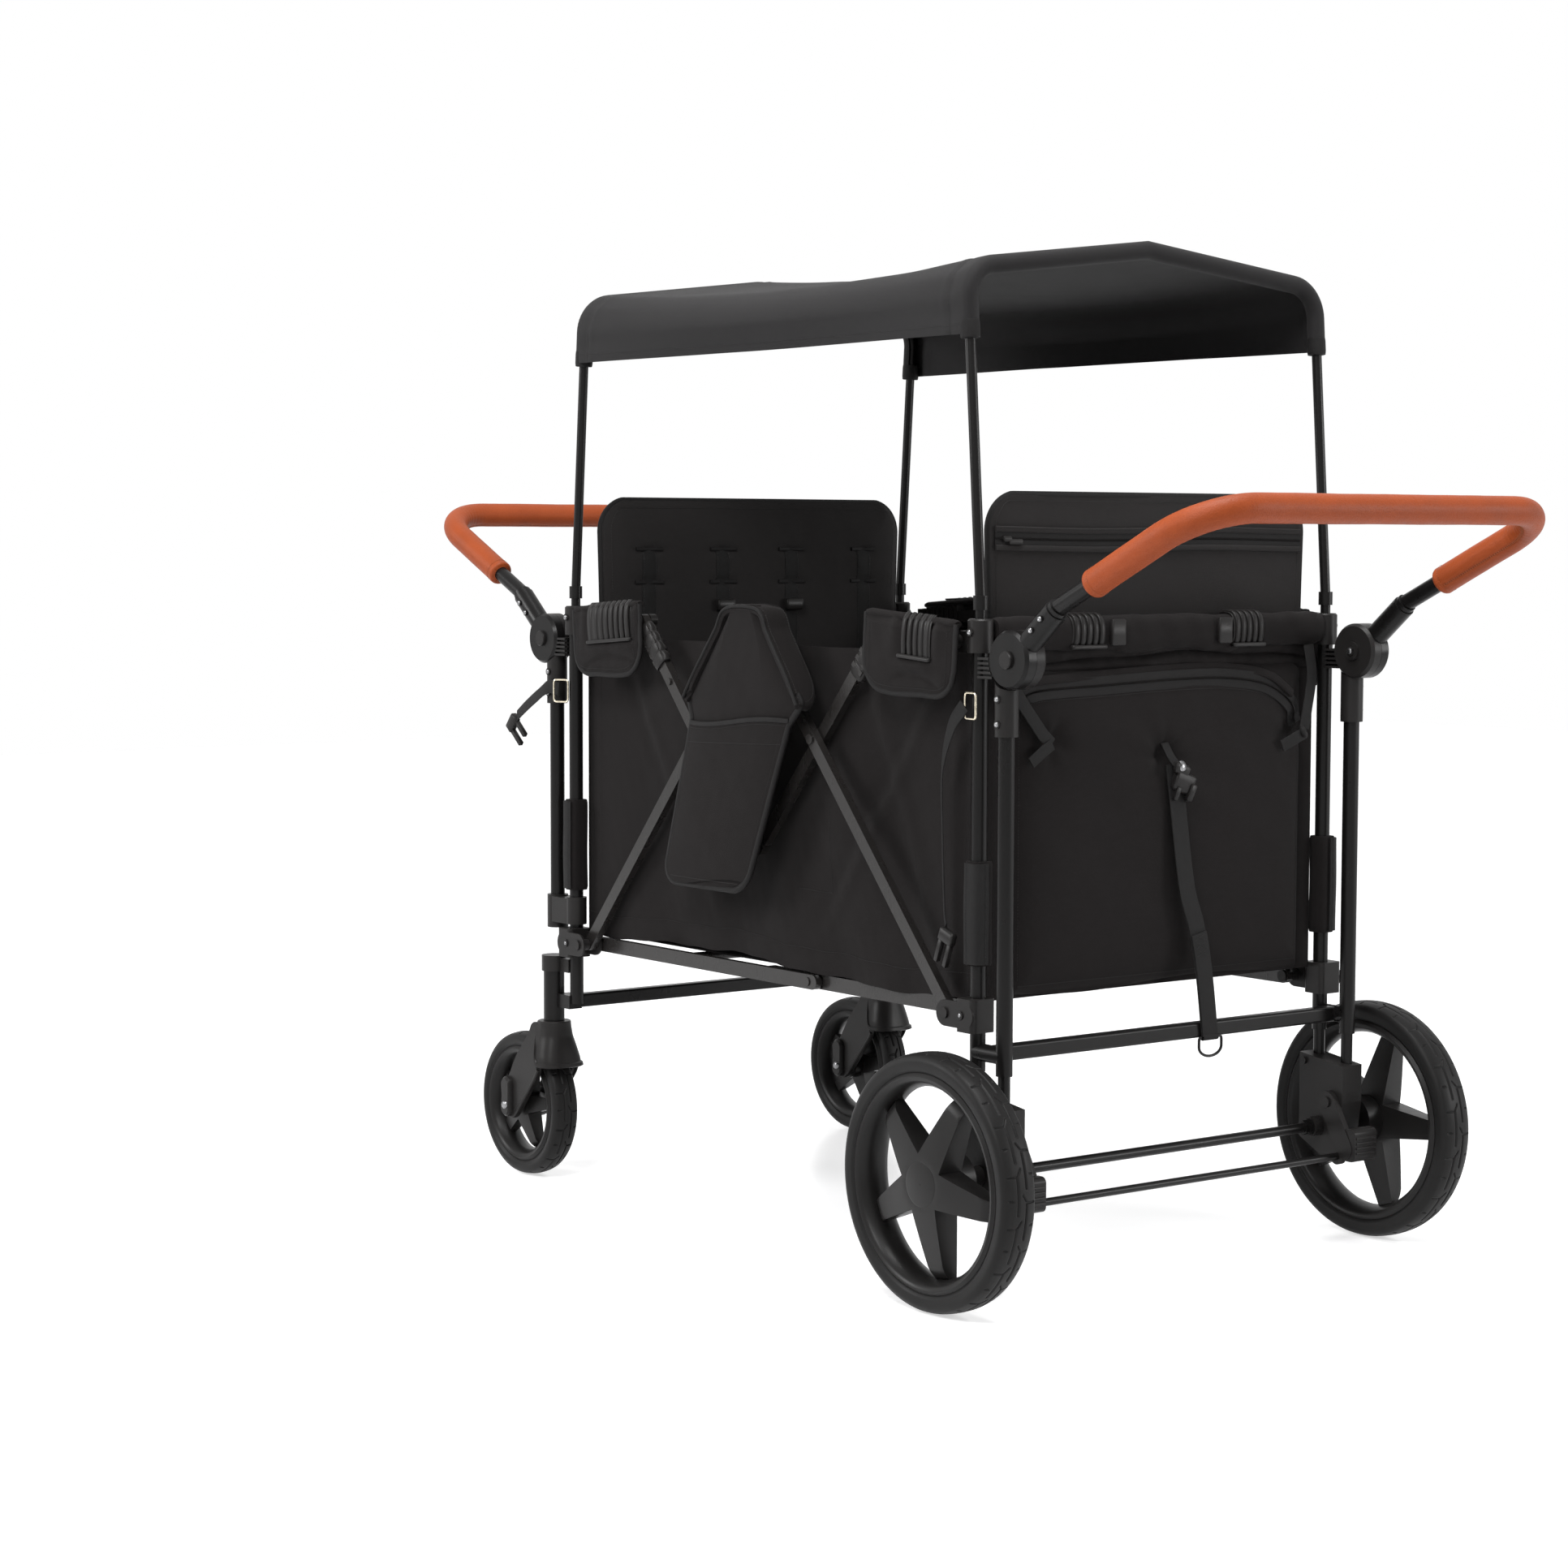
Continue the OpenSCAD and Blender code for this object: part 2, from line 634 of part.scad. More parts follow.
// A spoked rim with its axis along Z: ring, hub with closed cap, and a star of tapered spokes with a ridge each.
module rim(d, w, bore, bore_l, hub_d, depth) {
  r = d / 2;
  step = 360 / spokes;
  end = [r - 8, r * 0.115];
  tip = atan2(end.y, end.x);
  star = [for (k = [0:spokes - 1]) let(a = k * step) each [
    hub_d * 0.74 * [cos(a - step / 2), sin(a - step / 2)],
    norm(end) * [cos(a - tip), sin(a - tip)],
    norm(end) * [cos(a + tip), sin(a + tip)]
  ]];
  difference() {
    union() {
      rotate_extrude() polygon([
        [r - 11, -w / 2 + 2], [r - 5, -w / 2], [r, -w / 2 + 3], [r - 4, -w / 2 + 8],
        [r - 4, w / 2 - 8], [r, w / 2 - 3], [r - 5, w / 2], [r - 11, w / 2 - 2]
      ]);
      translate([0, 0, -w / 2 - depth]) cylinder(h = w + depth - 5, d = hub_d);
      translate([0, 0, -w / 2 + 5]) linear_extrude(w - 22) polygon(star);
      for (k = [0:spokes - 1]) rotate([90, 0, 90 + k * step]) translate([0, 0, hub_d / 4])
        linear_extrude(end.x - hub_d / 4) polygon([
          [-hub_d * 0.17, w / 2 - 20], [hub_d * 0.17, w / 2 - 20], [2, w / 2 - 7], [-2, w / 2 - 7]
        ]);
    }
    translate([0, 0, -w / 2 - depth - 1]) cylinder(h = bore_l, d = bore);
    translate([0, 0, w / 2 - 6.2]) rotate_extrude() translate([hub_d / 2 - 5, 0]) square([1.6, 2]);
  }
}

// A tyre with its axis along Z: crowned tread, round shoulders, bead seat on the rim.
module tyre(d, rim_d, w) {
  r = d / 2;
  b = rim_d / 2;
  rotate_extrude() union() {
    polygon([
      [b + seat_gap, -w / 2 + 3], [b + 4, -w / 2 + 1], [r - 9, -w / 2], [r - 3, -w / 2 + 5], [r, -w / 2 + 14],
      [r, w / 2 - 14], [r - 3, w / 2 - 5], [r - 9, w / 2], [b + 4, w / 2 - 1], [b + seat_gap, w / 2 - 3],
      [b - 4 + seat_gap, w / 2 - 8], [b - 4 + seat_gap, -w / 2 + 8]
    ]);
  }
}

module at_wheel() {
  translate([wheel_x, -axle_y, axle_z]) rotate([0, 90, 0]) children();
}

module rear_rim() {
  depth = wheel_out - wheel_w / 2 - 39.5;
  at_wheel() rim(wheel_d - 44, wheel_w - 2, axle_d + 2 * run_gap, wheel_w + depth - 11, 62, depth);
}

module rear_tyre() {
  at_wheel() tyre(wheel_d, wheel_d - 44, wheel_w - 2);
}

module rear_rim_left() {
  color("#262626") on(-1) rear_rim();
}

module rear_rim_right() {
  color("#262626") on(1) rear_rim();
}

module rear_tyre_left() {
  color("#161616") on(-1) rear_tyre();
}

module rear_tyre_right() {
  color("#161616") on(1) rear_tyre();
}

module at_caster() {
  translate([stem_x, stem_y + caster_trail, caster_z]) rotate([0, 90, 0]) children();
}

// Hooded caster fork: swivel pin, collar, arch over the wheel, two legs, axle and its end blocks.
module fork() {
  c = [caster_trail, caster_z];
  top = stem_low - 0.5;
  translate([stem_x, stem_y, 0]) {
    difference() {
      intersection() {
        yz(-fork_out - 4, fork_out + 4) polygon([
          [-20, top], [-23, top - 22], [-31, top - 46], [-33, top - 60], [-27, top - 66], [-9, top - 70],
          [20, top - 100], c + [-12, -14], c + [6, -18], c + [16, -6], c + [16, 10],
          c + [8, 26], c + [-4, 46], [40, top - 40], [27, top - 17], [22, top]
        ]);
        translate([0, -100, 0]) rotate([-90, 0, 0]) linear_extrude(240) polygon([
          [-22, -top], [22, -top], [fork_out - 4, -top + 34], [fork_out, -top + 52], [fork_out, 0],
          [-fork_out, 0], [-fork_out, -top + 52], [-fork_out + 4, -top + 34]
        ]);
      }
      xcyl(c.x, c.y, -fork_in, fork_in, caster_d + 14);
    }
    translate([0, 0, top - 14]) cylinder(h = 14, d = 46);
    translate([0, 0, top - 6]) cylinder(h = 70, d = swivel_d);
    xcyl(c.x, c.y, -fork_out - 1, fork_out + 1, caster_axle_d);
    for (s = [-1, 1]) {
      yz(s > 0 ? fork_out - 1 : -fork_out - 5, s > 0 ? fork_out + 5 : -fork_out + 1)
        translate(c + [0, 8]) soft_square(17, 46, 8);
      translate([s * (fork_out + 7), c.x, c.y])
        rotate([0, 90, 0]) cylinder(h = 5, d = 11, center = true, $fn = 6);
    }
  }
}

module fork_left() {
  color("#1c1c1c") on(-1) fork();
}

module fork_right() {
  color("#1c1c1c") on(1) fork();
}

module caster_rim() {
  at_caster() rim(caster_d - 38, caster_w - 2, caster_axle_d + 2 * run_gap, 2 * caster_w, 40, 2);
}

module caster_tyre() {
  at_caster() tyre(caster_d, caster_d - 38, caster_w - 2);
}

module caster_rim_left() {
  color("#262626") on(-1) caster_rim();
}

module caster_rim_right() {
  color("#262626") on(1) caster_rim();
}

module caster_tyre_left() {
  color("#161616") on(-1) caster_tyre();
}

module caster_tyre_right() {
  color("#161616") on(1) caster_tyre();
}

// Ribs across a bar from p to q, the first at t0.
module ribs2d(p, q, t0, pitch, n, w) {
  v = q - p;
  translate(p) rotate(atan2(v.y, v.x)) for (i = [0:n - 1])
    translate([t0 + i * pitch, -w / 2]) square([pitch * 0.6, w]);
}

// Long bars from the rear lower pivots to the apex, in the outer layer, with the pins of the rear braces.
module scissor_bars_rear() {
  color("#2a2a2c") both() difference() {
    union() {
      yz(out0, out1) bar2d([-pivot_y, pivot_z], [0, apex_z], strip_w);
      xcyl(-cross_in, cross_z, in0 - pass_gap - head_h, out0 + 1, pin_d);
      xcyl(-cross_in, cross_z, in0 - pass_gap - head_h, in0 - pass_gap, pin_d + 5);
      xcyl(-cross_in, cross_z, out1 - 1, out1 + head_h, pin_d + 4);
      xcyl(0, apex_z, out1 - 1, out1 + head_h, pin_d + 4);
    }
    xcyl(-pivot_y, pivot_z, out0 - 1, out1 + 1, pin_d + 2 * run_gap);
  }
}

// Long bars from the front lower pivots to the apex, in the inner layer, with the pins of the front braces.
module scissor_bars_front() {
  color("#2a2a2c") both() difference() {
    union() {
      yz(in0, in1) bar2d([pivot_y, pivot_z], [0, apex_z], strip_w);
      xcyl(cross_in, cross_z, in1 - 1, out1 + pass_gap + head_h, pin_d);
      xcyl(cross_in, cross_z, out1 + pass_gap, out1 + pass_gap + head_h, pin_d + 5);
      xcyl(0, apex_z, in0 - head_h, in0 + 1, pin_d + 4);
    }
    xcyl(pivot_y, pivot_z, in0 - 1, in1 + 1, pin_d + 2 * run_gap);
  }
}

// Braces with ribbed sleeves, from the knees of the top links down to the middle.
module brace(y, x0, x1, head0, rib0, rib1) {
  knee = [sign(y) * knee_y, knee_z];
  foot = [0, foot_z];
  difference() {
    union() {
      yz(x0, x1) bar2d(knee, foot, strip_w);
      yz(rib0, rib1) ribs2d(knee, foot, 16, 11, 5, strip_w + 6);
      xcyl(0, foot_z, head0, head0 + head_h + 1, pin_d + 4);
      xcyl(knee.x, knee_z, head0, head0 + head_h + 1, pin_d + 4);
      xcyl(y + sign(y) * 50, cross_z + 50 * tan(scissor_a), head0, head0 + head_h + 1, pin_d + 1);
    }
    xcyl(y, cross_z, x0 - 1, x1 + 1, pin_d + 2 * run_gap);
  }
}

module braces_rear() {
  color("#2a2a2c") both() brace(-cross_in, in0, in1, in0 - head_h, in0 - 2.2, in1 + 0.8);
}

module braces_front() {
  color("#2a2a2c") both() brace(cross_in, out0, out1, out1 - 1, out0 - 0.8, out1 + 2.5);
}

// Top links with ribbed grips, from the corner brackets to the knees.
module top_link(x0, x1, rib0, rib1) {
  p = [-link_y, link_z];
  q = [-knee_y, knee_z];
  difference() {
    union() {
      yz(x0, x1) bar2d(p, q, strip_w);
      yz(rib0, rib1) ribs2d(p, q, 20, 10, 9, 30);
    }
    xcyl(-link_y, link_z, x0 - 1, x1 + 1, link_pin + 2 * run_gap);
  }
}

module top_links_rear() {
  color("#1c1c1c") both() top_link(out0, out1, out0 - 0.6, out1 + 3);
}

module top_links_front() {
  color("#1c1c1c") both() front() top_link(in0, in1, in0 - 2.2, in1 + 0.6);
}

// Floor rails that lap in the middle, rear ones inside the front ones, with a cross tube.
module floor_rails_rear() {
  color("#2a2a2c") {
    both() difference() {
      yz(rear_rail0, rear_rail1) bar2d([-pivot_y, pivot_z], [10, pivot_z], rail_w);
      xcyl(-pivot_y, pivot_z, rear_rail0 - 1, rear_rail1 + 1, pin_d + 2 * run_gap);
    }
    xcyl(-pivot_y / 2, pivot_z, -rear_rail0 - 1, rear_rail0 + 1, 12);
  }
}

module floor_rails_front() {
  color("#2a2a2c") {
    both() {
      difference() {
        yz(front_rail0, front_rail1) bar2d([pivot_y, pivot_z], [-rail_lap, pivot_z], rail_w);
        xcyl(pivot_y, pivot_z, front_rail0 - 1, front_rail1 + 1, pin_d + 2 * run_gap);
      }
      xcyl(-rail_lap + 9, pivot_z, front_rail1 - 1, front_rail1 + 1.5, pin_d + 3);
    }
    xcyl(pivot_y / 2, pivot_z, -front_rail0 - 1, front_rail0 + 1, 12);
  }
}

// Folding floor: two boards on the rails and a soft strip between them.
module floor_rear() {
  color("#242424") translate([-rear_rail1, -pivot_y + 10, floor_z])
    cube([2 * rear_rail1, pivot_y - 10 - floor_end, floor_t]);
}

module floor_front() {
  wide = front_rail1;
  slim = rear_rail0 - 2;
  color("#242424") {
    translate([-slim, floor_end, floor_z]) cube([2 * slim, pivot_y - 10 - floor_end, floor_t]);
    translate([-wide, pivot_y / 2, floor_z]) cube([2 * wide, pivot_y / 2 - 10, floor_t]);
  }
}

module floor_middle() {
  slim = rear_rail0 - 3;
  color("#242424") translate([-slim, -floor_end + 0.4, floor_z]) cube([2 * slim, 2 * floor_end - 0.8, floor_t]);
}

// Ribbed carrying grips on an end tube of the rim.
module rim_grips() {
  both() difference() {
    union() {
      xcyl(-base_half, rim_tube_z, rim_grip_x, rim_grip_x + rim_grip_l, rim_tube_d + 8);
      for (x = [rim_grip_x:10:rim_grip_x + 40]) xcyl(-base_half, rim_tube_z, x, x + 6, rim_tube_d + 14);
    }
    xcyl(-base_half, rim_tube_z, rim_grip_x - 4, rim_grip_x + rim_grip_l + 4, rim_tube_d + 2 * seat_gap);
  }
}

module rear_rim_grips() {
  color("#1c1c1c") rim_grips();
}

module front_rim_grips() {
  color("#1c1c1c") front() rim_grips();
}

// Fabric end wall: flat wall, padded roll round the rim tube, hook-and-loop sleeves round the posts.
module end_panel(sleeve0, sleeve1) {
  y0 = -base_half + 2;
  difference() {
    union() {
      translate([-wall_x - 1, y0, wall_low]) cube([2 * wall_x + 2, 8, rim_z - bracket_h + 1 - wall_low]);
      yz(-track_half + collar_d / 2 + 1, track_half - collar_d / 2 - 1)
        translate([-base_half - 0.8, rim_tube_z + 2]) soft_square(33, 40, 12);
      both() {
        translate([track_half, -base_half, sleeve0]) cylinder(h = sleeve1 - sleeve0, d = post_d + 6);
        translate([wall_x - 2, y0, sleeve0]) cube([8, 8, sleeve1 - sleeve0]);
      }
    }
    xcyl(-base_half, rim_tube_z, -2 * track_half, 2 * track_half, rim_tube_d + 0.6);
    both() {
      translate([rim_grip_x - 3, -base_half - 20, rim_z - bracket_h + 0.5]) cube([rim_grip_l + 6, 50, 60]);
      translate([track_half, -base_half, sleeve0 - 1]) cylinder(h = sleeve1 - sleeve0 + 2, d = post_d + 0.6);
    }
  }
}

module rear_panel() {
  color("#232323") end_panel(wall_low + 36, wall_low + 154);
}

module front_panel() {
  color("#232323") front() end_panel(wall_low + 50, wall_low + 170);
}

// Zipped storage bag on the outside of the rear wall.
module rear_bag() {
  color("#262626") translate([0, -base_half + 1.6, wall_low + 5 + bag_h / 2])
    rotate([90, 0, 0]) linear_extrude(20) soft_square(2 * wall_x - 50, bag_h, 34);
}

// Padded seat back: flat outside, crowned inside, drawn in towards its piped edge, round upper corners.
module seat_back() {
  n = 12;
  m = 18;
  h = seat_top - seat_z + 40;
  r = 42;
  half = function(v) v * h < h - r ? back_x - 4 * sin(180 * v * h / (h - r))
    : back_x - r + sqrt(max(0, r * r - pow(v * h - h + r, 2)));
  swell = function(u, v) (1 - pow(abs(u), 5)) * (1 - pow(v, 10));
  channel = function(u) 1 - 0.18 * exp(-pow((abs(u) - 0.42) / 0.05, 2));
  us = [for (j = [0:m]) 2 * j / m - 1];
  vs = [for (i = [0:n]) 0.985 * sin(90 * i / n)];
  skin(
    [for (v = vs) [for (u = us) [u * half(v), -back_y, seat_z - 40 + v * h]]],
    [for (v = vs) [for (u = us)
      [u * half(v), -back_y + 9 + (back_t - 9) * swell(u, v) * channel(u), seat_z - 40 + v * h]]]
  );
}

module rear_seat_back() {
  color("#242424") seat_back();
}

module front_seat_back() {
  color("#242424") rotate([0, 0, 180]) seat_back();
}

// Padded seat: crowned top, drawn-in sides, hinged at its upper rear edge.
module seat() {
  n = 8;
  m = 12;
  y0 = -back_y + back_t + 0.4;
  half = function(v) back_x - 16 - 5 * sin(180 * v);
  swell = function(u, v) (1 - pow(abs(u), 4)) * (1 - pow(v, 6)) * (1 - 0.7 * pow(1 - v, 8));
  us = [for (j = [0:m]) 2 * j / m - 1];
  vs = [for (i = [0:n]) i / n];
  skin(
    [for (v = vs) [for (u = us) [u * half(v), y0 + v * seat_deep, seat_z - 9 + 9 * swell(u, v)]]],
    [for (v = vs) [for (u = us) [u * half(v), y0 + v * seat_deep, seat_z - seat_t]]]
  );
}

module rear_seat() {
  color("#242424") seat();
}

module front_seat() {
  color("#242424") rotate([0, 0, 180]) seat();
}

// Cloth saddle over a top link: hanging flap with a round lower edge, and a strip over the ribs from x0 on.
module flap(x0) {
  translate([0, -link_y, link_z]) rotate([link_a, 0, 0]) {
    yz(flap0, flap1) {
      translate([4, -30]) square([link_l - 14, 48]);
      bar2d([40, -30], [link_l - 46, -30], 72);
    }
    yz(x0, flap1) translate([8, 15.4]) square([link_l - 50, 2.6]);
  }
}

module flaps_rear() {
  color("#262626") both() flap(out0);
}

module flaps_front() {
  color("#262626") both() front() flap(in0);
}

// Loose fabric side wall with its main folds.
module side_wall() {
  n = 9;
  m = 26;
  ye = base_half - 10.4;
  fade = function(y) 1 - pow(abs(y / ye), 6);
  fold = function(y, z) 3 * sin(0.9 * y + 0.35 * z) + 2.2 * sin(2.1 * y - 0.6 * z + 40);
  at = function(y, z) wall_x + fade(y) * fold(y, z);
  ys = [for (j = [0:m]) ye * (2 * j / m - 1)];
  zs = [for (i = [0:n]) wall_low + (wall_top - wall_low) * i / n];
  skin(
    [for (z = zs) [for (y = ys) [at(y, z) + wall_t / 2, y, z]]],
    [for (z = zs) [for (y = ys) [at(y, z) - wall_t / 2, y, z]]]
  );
}

module side_left() {
  color("#232323") on(-1) side_wall();
}

module side_right() {
  color("#232323") on(1) side_wall();
}

// Peaked cover over the apex with a hanging pouch: narrow peak, shoulders, slanted pocket, round bottom.
module pouch() {
  n = 16;
  m = 12;
  top = apex_z + 18;
  shoulder = pouch_h / 3;
  half = function(d) d < shoulder ? 24 + (pouch_w / 2 - 24) * d / shoulder
    : d < shoulder + 25 ? pouch_w / 2 - 17 * (d - shoulder) / 25
    : d < pouch_h - 30 ? pouch_w / 2 - 17 - 11 * (d - shoulder - 25) / (pouch_h - shoulder - 55)
    : pouch_w / 2 - 28 - 30 + sqrt(max(0, 900 - pow(d - pouch_h + 30, 2)));
  mid = function(d) d < shoulder ? -20 + 5 * d / shoulder : -15 + 84 * (d - shoulder) / (pouch_h - shoulder);
  swell = function(u, d) (1 - pow(abs(u), 4)) * (0.55 + 0.45 * cos(180 * d / pouch_h)) + 0.25 * (1 - pow(u, 2));
  us = [for (j = [0:m]) 2 * j / m - 1];
  ds = [for (i = [0:n]) (pouch_h - 1) * i / n];
  skin(
    [for (d = ds) [for (u = us) [pouch0, mid(d) + u * half(d), top - d]]],
    [for (d = ds) [for (u = us)
      [pouch0 + 4 + (pouch_t - 4) * min(1, swell(u, d)), mid(d) + u * half(d), top - d]]]
  );
  translate([out0 - 0.6, -38, apex_z + strip_w / 2 + 0.3]) cube([pouch0 - out0 + 2, 50, 9]);
}

module pouch_left() {
  color("#262626") on(-1) pouch();
}

module pouch_right() {
  color("#262626") on(1) pouch();
}

// A canopy bow at the rear: straight ends in the posts, a collar, leaning poles, round corners, and a gabled
// top with a sleeve at the ridge. The bent corners are lengths of their own, hair gaps apart.
module bow() {
  trim = 180 / PI * joint_gap / bow_bend;
  end = [track_half - bow_bend + bow_bend * sin(bow_slope), bow_h + bow_bend * cos(bow_slope)];
  peak = end.y + end.x * tan(bow_slope);
  step = joint_gap * [cos(bow_slope), -sin(bow_slope)];
  both() {
    translate([track_half, -base_half, post_top - pole_in])
      cylinder(h = kink_z - 2 - post_top + pole_in, d = pole_d);
    translate([track_half, -base_half, kink_z - 8]) cylinder(h = 16, d = pole_d + 5);
  }
  translate([0, -base_half, kink_z]) rotate([-bow_lean, 0, 0]) {
    both() {
      translate([track_half, 0, 2]) cylinder(h = bow_h - 2 - joint_gap, d = pole_d);
      translate([track_half - bow_bend, 0, bow_h]) rotate([90, 0, 0]) rotate([0, 0, trim])
        rotate_extrude(angle = 90 - bow_slope - 2 * trim) translate([bow_bend, 0]) circle(d = pole_d);
      rod([end.x - step.x, 0, end.y - step.y], [3, 0, peak - 3 * tan(bow_slope)], pole_d);
    }
    xcyl(0, peak, -7, 7, pole_d + 2.8);
  }
}

module bow_rear() {
  color("#202020") bow();
}

module bow_front() {
  color("#202020") front() bow();
}

// One cloth over both bows: straight valances, round eaves, a gable that sags between the bows.
module canopy() {
  n = 16;
  low = (hem_z - kink_z) / cos(bow_lean);
  eave = track_half - bow_bend;
  side = function(o) concat(
    [for (k = [0:2]) [track_half + o, low + (bow_h - low) * k / 3]],
    [for (k = [0:5]) let(a = (90 - bow_slope) * k / 5)
      [eave + (bow_bend + o) * cos(a), bow_h + (bow_bend + o) * sin(a)]],
    [for (k = [1:4]) let(x = eave * (1 - k / 5))
      [x, bow_h + (bow_bend + o) / cos(bow_slope) + (eave - x) * tan(bow_slope)]]
  );
  ridge = function(o) [[0, bow_h + (bow_bend + o) / cos(bow_slope) + eave * tan(bow_slope)]];
  section = function(o) let(s = side(o)) concat(s, ridge(o), [for (k = [len(s) - 1:-1:0]) [-s[k].x, s[k].y]]);
  sag = function(u, p) canopy_sag * (1 - u * u) * min(1, max(0, (p.y - low) / (bow_h - low + bow_bend)));
  span = function(p) base_half - p.y * sin(bow_lean) + 7;
  grid = function(o) [for (i = [0:n]) let(u = 2 * i / n - 1) [for (p = section(o))
    [p.x * (1 - 0.012 * pow(1 - u * u, 2)), u * span(p), kink_z + p.y * cos(bow_lean) - sag(u, p)]]];
  color("#242424") skin(grid(shell_r), grid(shell_r + 1.8));
}

// Hanging strap of the rear bag with its D ring.
module tow_strap() {
  y0 = -base_half - post_gap / 2 - bar_t / 2 - 2.5;
  z0 = rear_bar_z - 6;
  path = [[4, 11.5, 322], [8, 9.5, 282], [19, 3.5, 179], [34, 1.5, 129], [45, 0, 72], [55, 0, 0]];
  w = 12.5;
  color("#1e1e1e") {
    skin(
      [for (p = path) [[p.x - w, y0 + p.y + 1.6, z0 + p.z], [p.x + w, y0 + p.y + 1.6, z0 + p.z]]],
      [for (p = path) [[p.x - w, y0 + p.y, z0 + p.z], [p.x + w, y0 + p.y, z0 + p.z]]]
    );
    translate([57, y0 + 0.8, z0 - 16]) rotate([90, 0, 0]) rotate_extrude() translate([13.5, 0]) circle(d = 4);
  }
}

rear_frame();
rear_top_brackets();
rear_low_brackets();
rear_hinge_bases();
rear_axle();
wheel_housings();
rear_rim_grips();
rear_panel();
rear_bag();
rear_seat_back();
rear_seat();
front_frame();
front_top_brackets();
front_low_brackets();
front_hinge_bases();
front_rim_grips();
front_panel();
front_seat_back();
front_seat();
scissor_bars_rear();
scissor_bars_front();
braces_rear();
braces_front();
top_links_rear();
top_links_front();
floor_rails_rear();
floor_rails_front();
floor_rear();
floor_front();
floor_middle();
flaps_rear();
flaps_front();
side_left();
side_right();
pouch_left();
pouch_right();
rear_handle();
rear_grip();
front_handle();
front_grip();
button_rear_left();
button_rear_right();
button_front_left();
button_front_right();
rear_rim_left();
rear_tyre_left();
rear_rim_right();
rear_tyre_right();
fork_left();
fork_right();
caster_rim_left();
caster_tyre_left();
caster_rim_right();
caster_tyre_right();
brake_pedals();
brake_rod();
bow_rear();
bow_front();
canopy();
tow_strap();
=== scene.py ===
# %% [markdown]
# # A folding stroller wagon
# The packed CAD model is the frame of this scene: its rigid parts stay where they are and get better materials.
# Everything sewn, padded or moulded in rubber is built here as new surfaces that stand in for the plain solids.
# All new shapes are numpy arrays: a formula fills a grid of points, and one helper turns the grid into a mesh.

# %% Load the frame
import json
import bmesh
import bpy
import numpy as np
from mathutils import Matrix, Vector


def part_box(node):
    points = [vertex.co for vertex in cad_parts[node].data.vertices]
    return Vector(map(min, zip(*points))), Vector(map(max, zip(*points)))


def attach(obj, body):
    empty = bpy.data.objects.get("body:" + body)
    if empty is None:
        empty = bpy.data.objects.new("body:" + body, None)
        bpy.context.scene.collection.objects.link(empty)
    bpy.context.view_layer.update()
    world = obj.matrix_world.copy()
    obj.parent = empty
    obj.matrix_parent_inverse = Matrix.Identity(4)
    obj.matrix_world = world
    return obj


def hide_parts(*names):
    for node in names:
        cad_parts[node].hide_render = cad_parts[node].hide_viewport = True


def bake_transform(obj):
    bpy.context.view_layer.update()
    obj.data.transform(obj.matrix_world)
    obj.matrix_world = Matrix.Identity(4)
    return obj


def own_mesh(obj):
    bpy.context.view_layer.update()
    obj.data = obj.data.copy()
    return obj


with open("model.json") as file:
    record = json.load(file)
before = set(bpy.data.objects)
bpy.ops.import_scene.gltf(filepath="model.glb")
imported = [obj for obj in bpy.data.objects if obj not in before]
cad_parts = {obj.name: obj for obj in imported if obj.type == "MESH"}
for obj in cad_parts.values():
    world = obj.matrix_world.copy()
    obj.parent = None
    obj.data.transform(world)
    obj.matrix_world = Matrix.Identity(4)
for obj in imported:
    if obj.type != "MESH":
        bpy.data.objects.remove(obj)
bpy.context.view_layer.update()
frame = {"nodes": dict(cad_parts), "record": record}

# %% [markdown]
# ## Sizes
# The few measures that the cloth has to meet are repeated here in metres, so that each surface can be written as a
# formula: where the posts stand, and how high the bows and the canopy's hem are.

# %% Sizes in metres
TRACK, BASE = 0.274, 0.414  # how far the posts stand from the middle, across and along the wagon
KINK, LEAN, POLE = 0.790, np.radians(4), 0.006  # the bows: height of their feet, their lean, radius of their poles
BEND, RISE, RIDGE = 0.040, 0.028, 1.203  # the bows' outline: radius of the eaves, rise of the roof, its ridge
HEM, SAG = 1.089, 0.016  # the canopy: height of its hem, and how far its middle hangs
SIDES = (-1, "left"), (1, "right")
REARWARD = (0, -1, 0)
print("posts", 2 * TRACK, "by", 2 * BASE, "m apart")

# %% [markdown]
# ## Camera
# The camera stands where a fit of the photograph's straight lines puts it. It could be set by eye, but a fit meets all
# the lines at once. Its three axes are written as the columns of a matrix: right, up and backwards, with a very small
# roll. The lens has no shift, so other views stay plain too.

# %% Camera
CAMERA_AT = [-2.6365, -3.2179, 0.8597]
FOCAL, PHOTO_WIDTH, SENSOR = 4029.6, 1932, 36  # pixels, pixels and millimetres
yaw, pitch, roll = np.radians([36.687, -4.271, 0.123])
ahead = np.array([np.sin(yaw) * np.cos(pitch), np.cos(yaw) * np.cos(pitch), np.sin(pitch)])
right = np.array([np.cos(yaw), -np.sin(yaw), 0.0])
up = np.cross(right, ahead)
right, up = right * np.cos(roll) + up * np.sin(roll), up * np.cos(roll) - right * np.sin(roll)
camera = bpy.data.objects.new("camera", bpy.data.cameras.new("camera"))
bpy.context.collection.objects.link(camera)
matrix = np.eye(4)
matrix[:3, :3] = np.stack([right, up, -ahead], axis=1)
matrix[:3, 3] = CAMERA_AT
camera.matrix_world = Matrix(matrix.tolist())
camera.data.lens = FOCAL / PHOTO_WIDTH * SENSOR
bpy.context.scene.camera = camera
print("camera lens", round(camera.data.lens, 2), "mm")

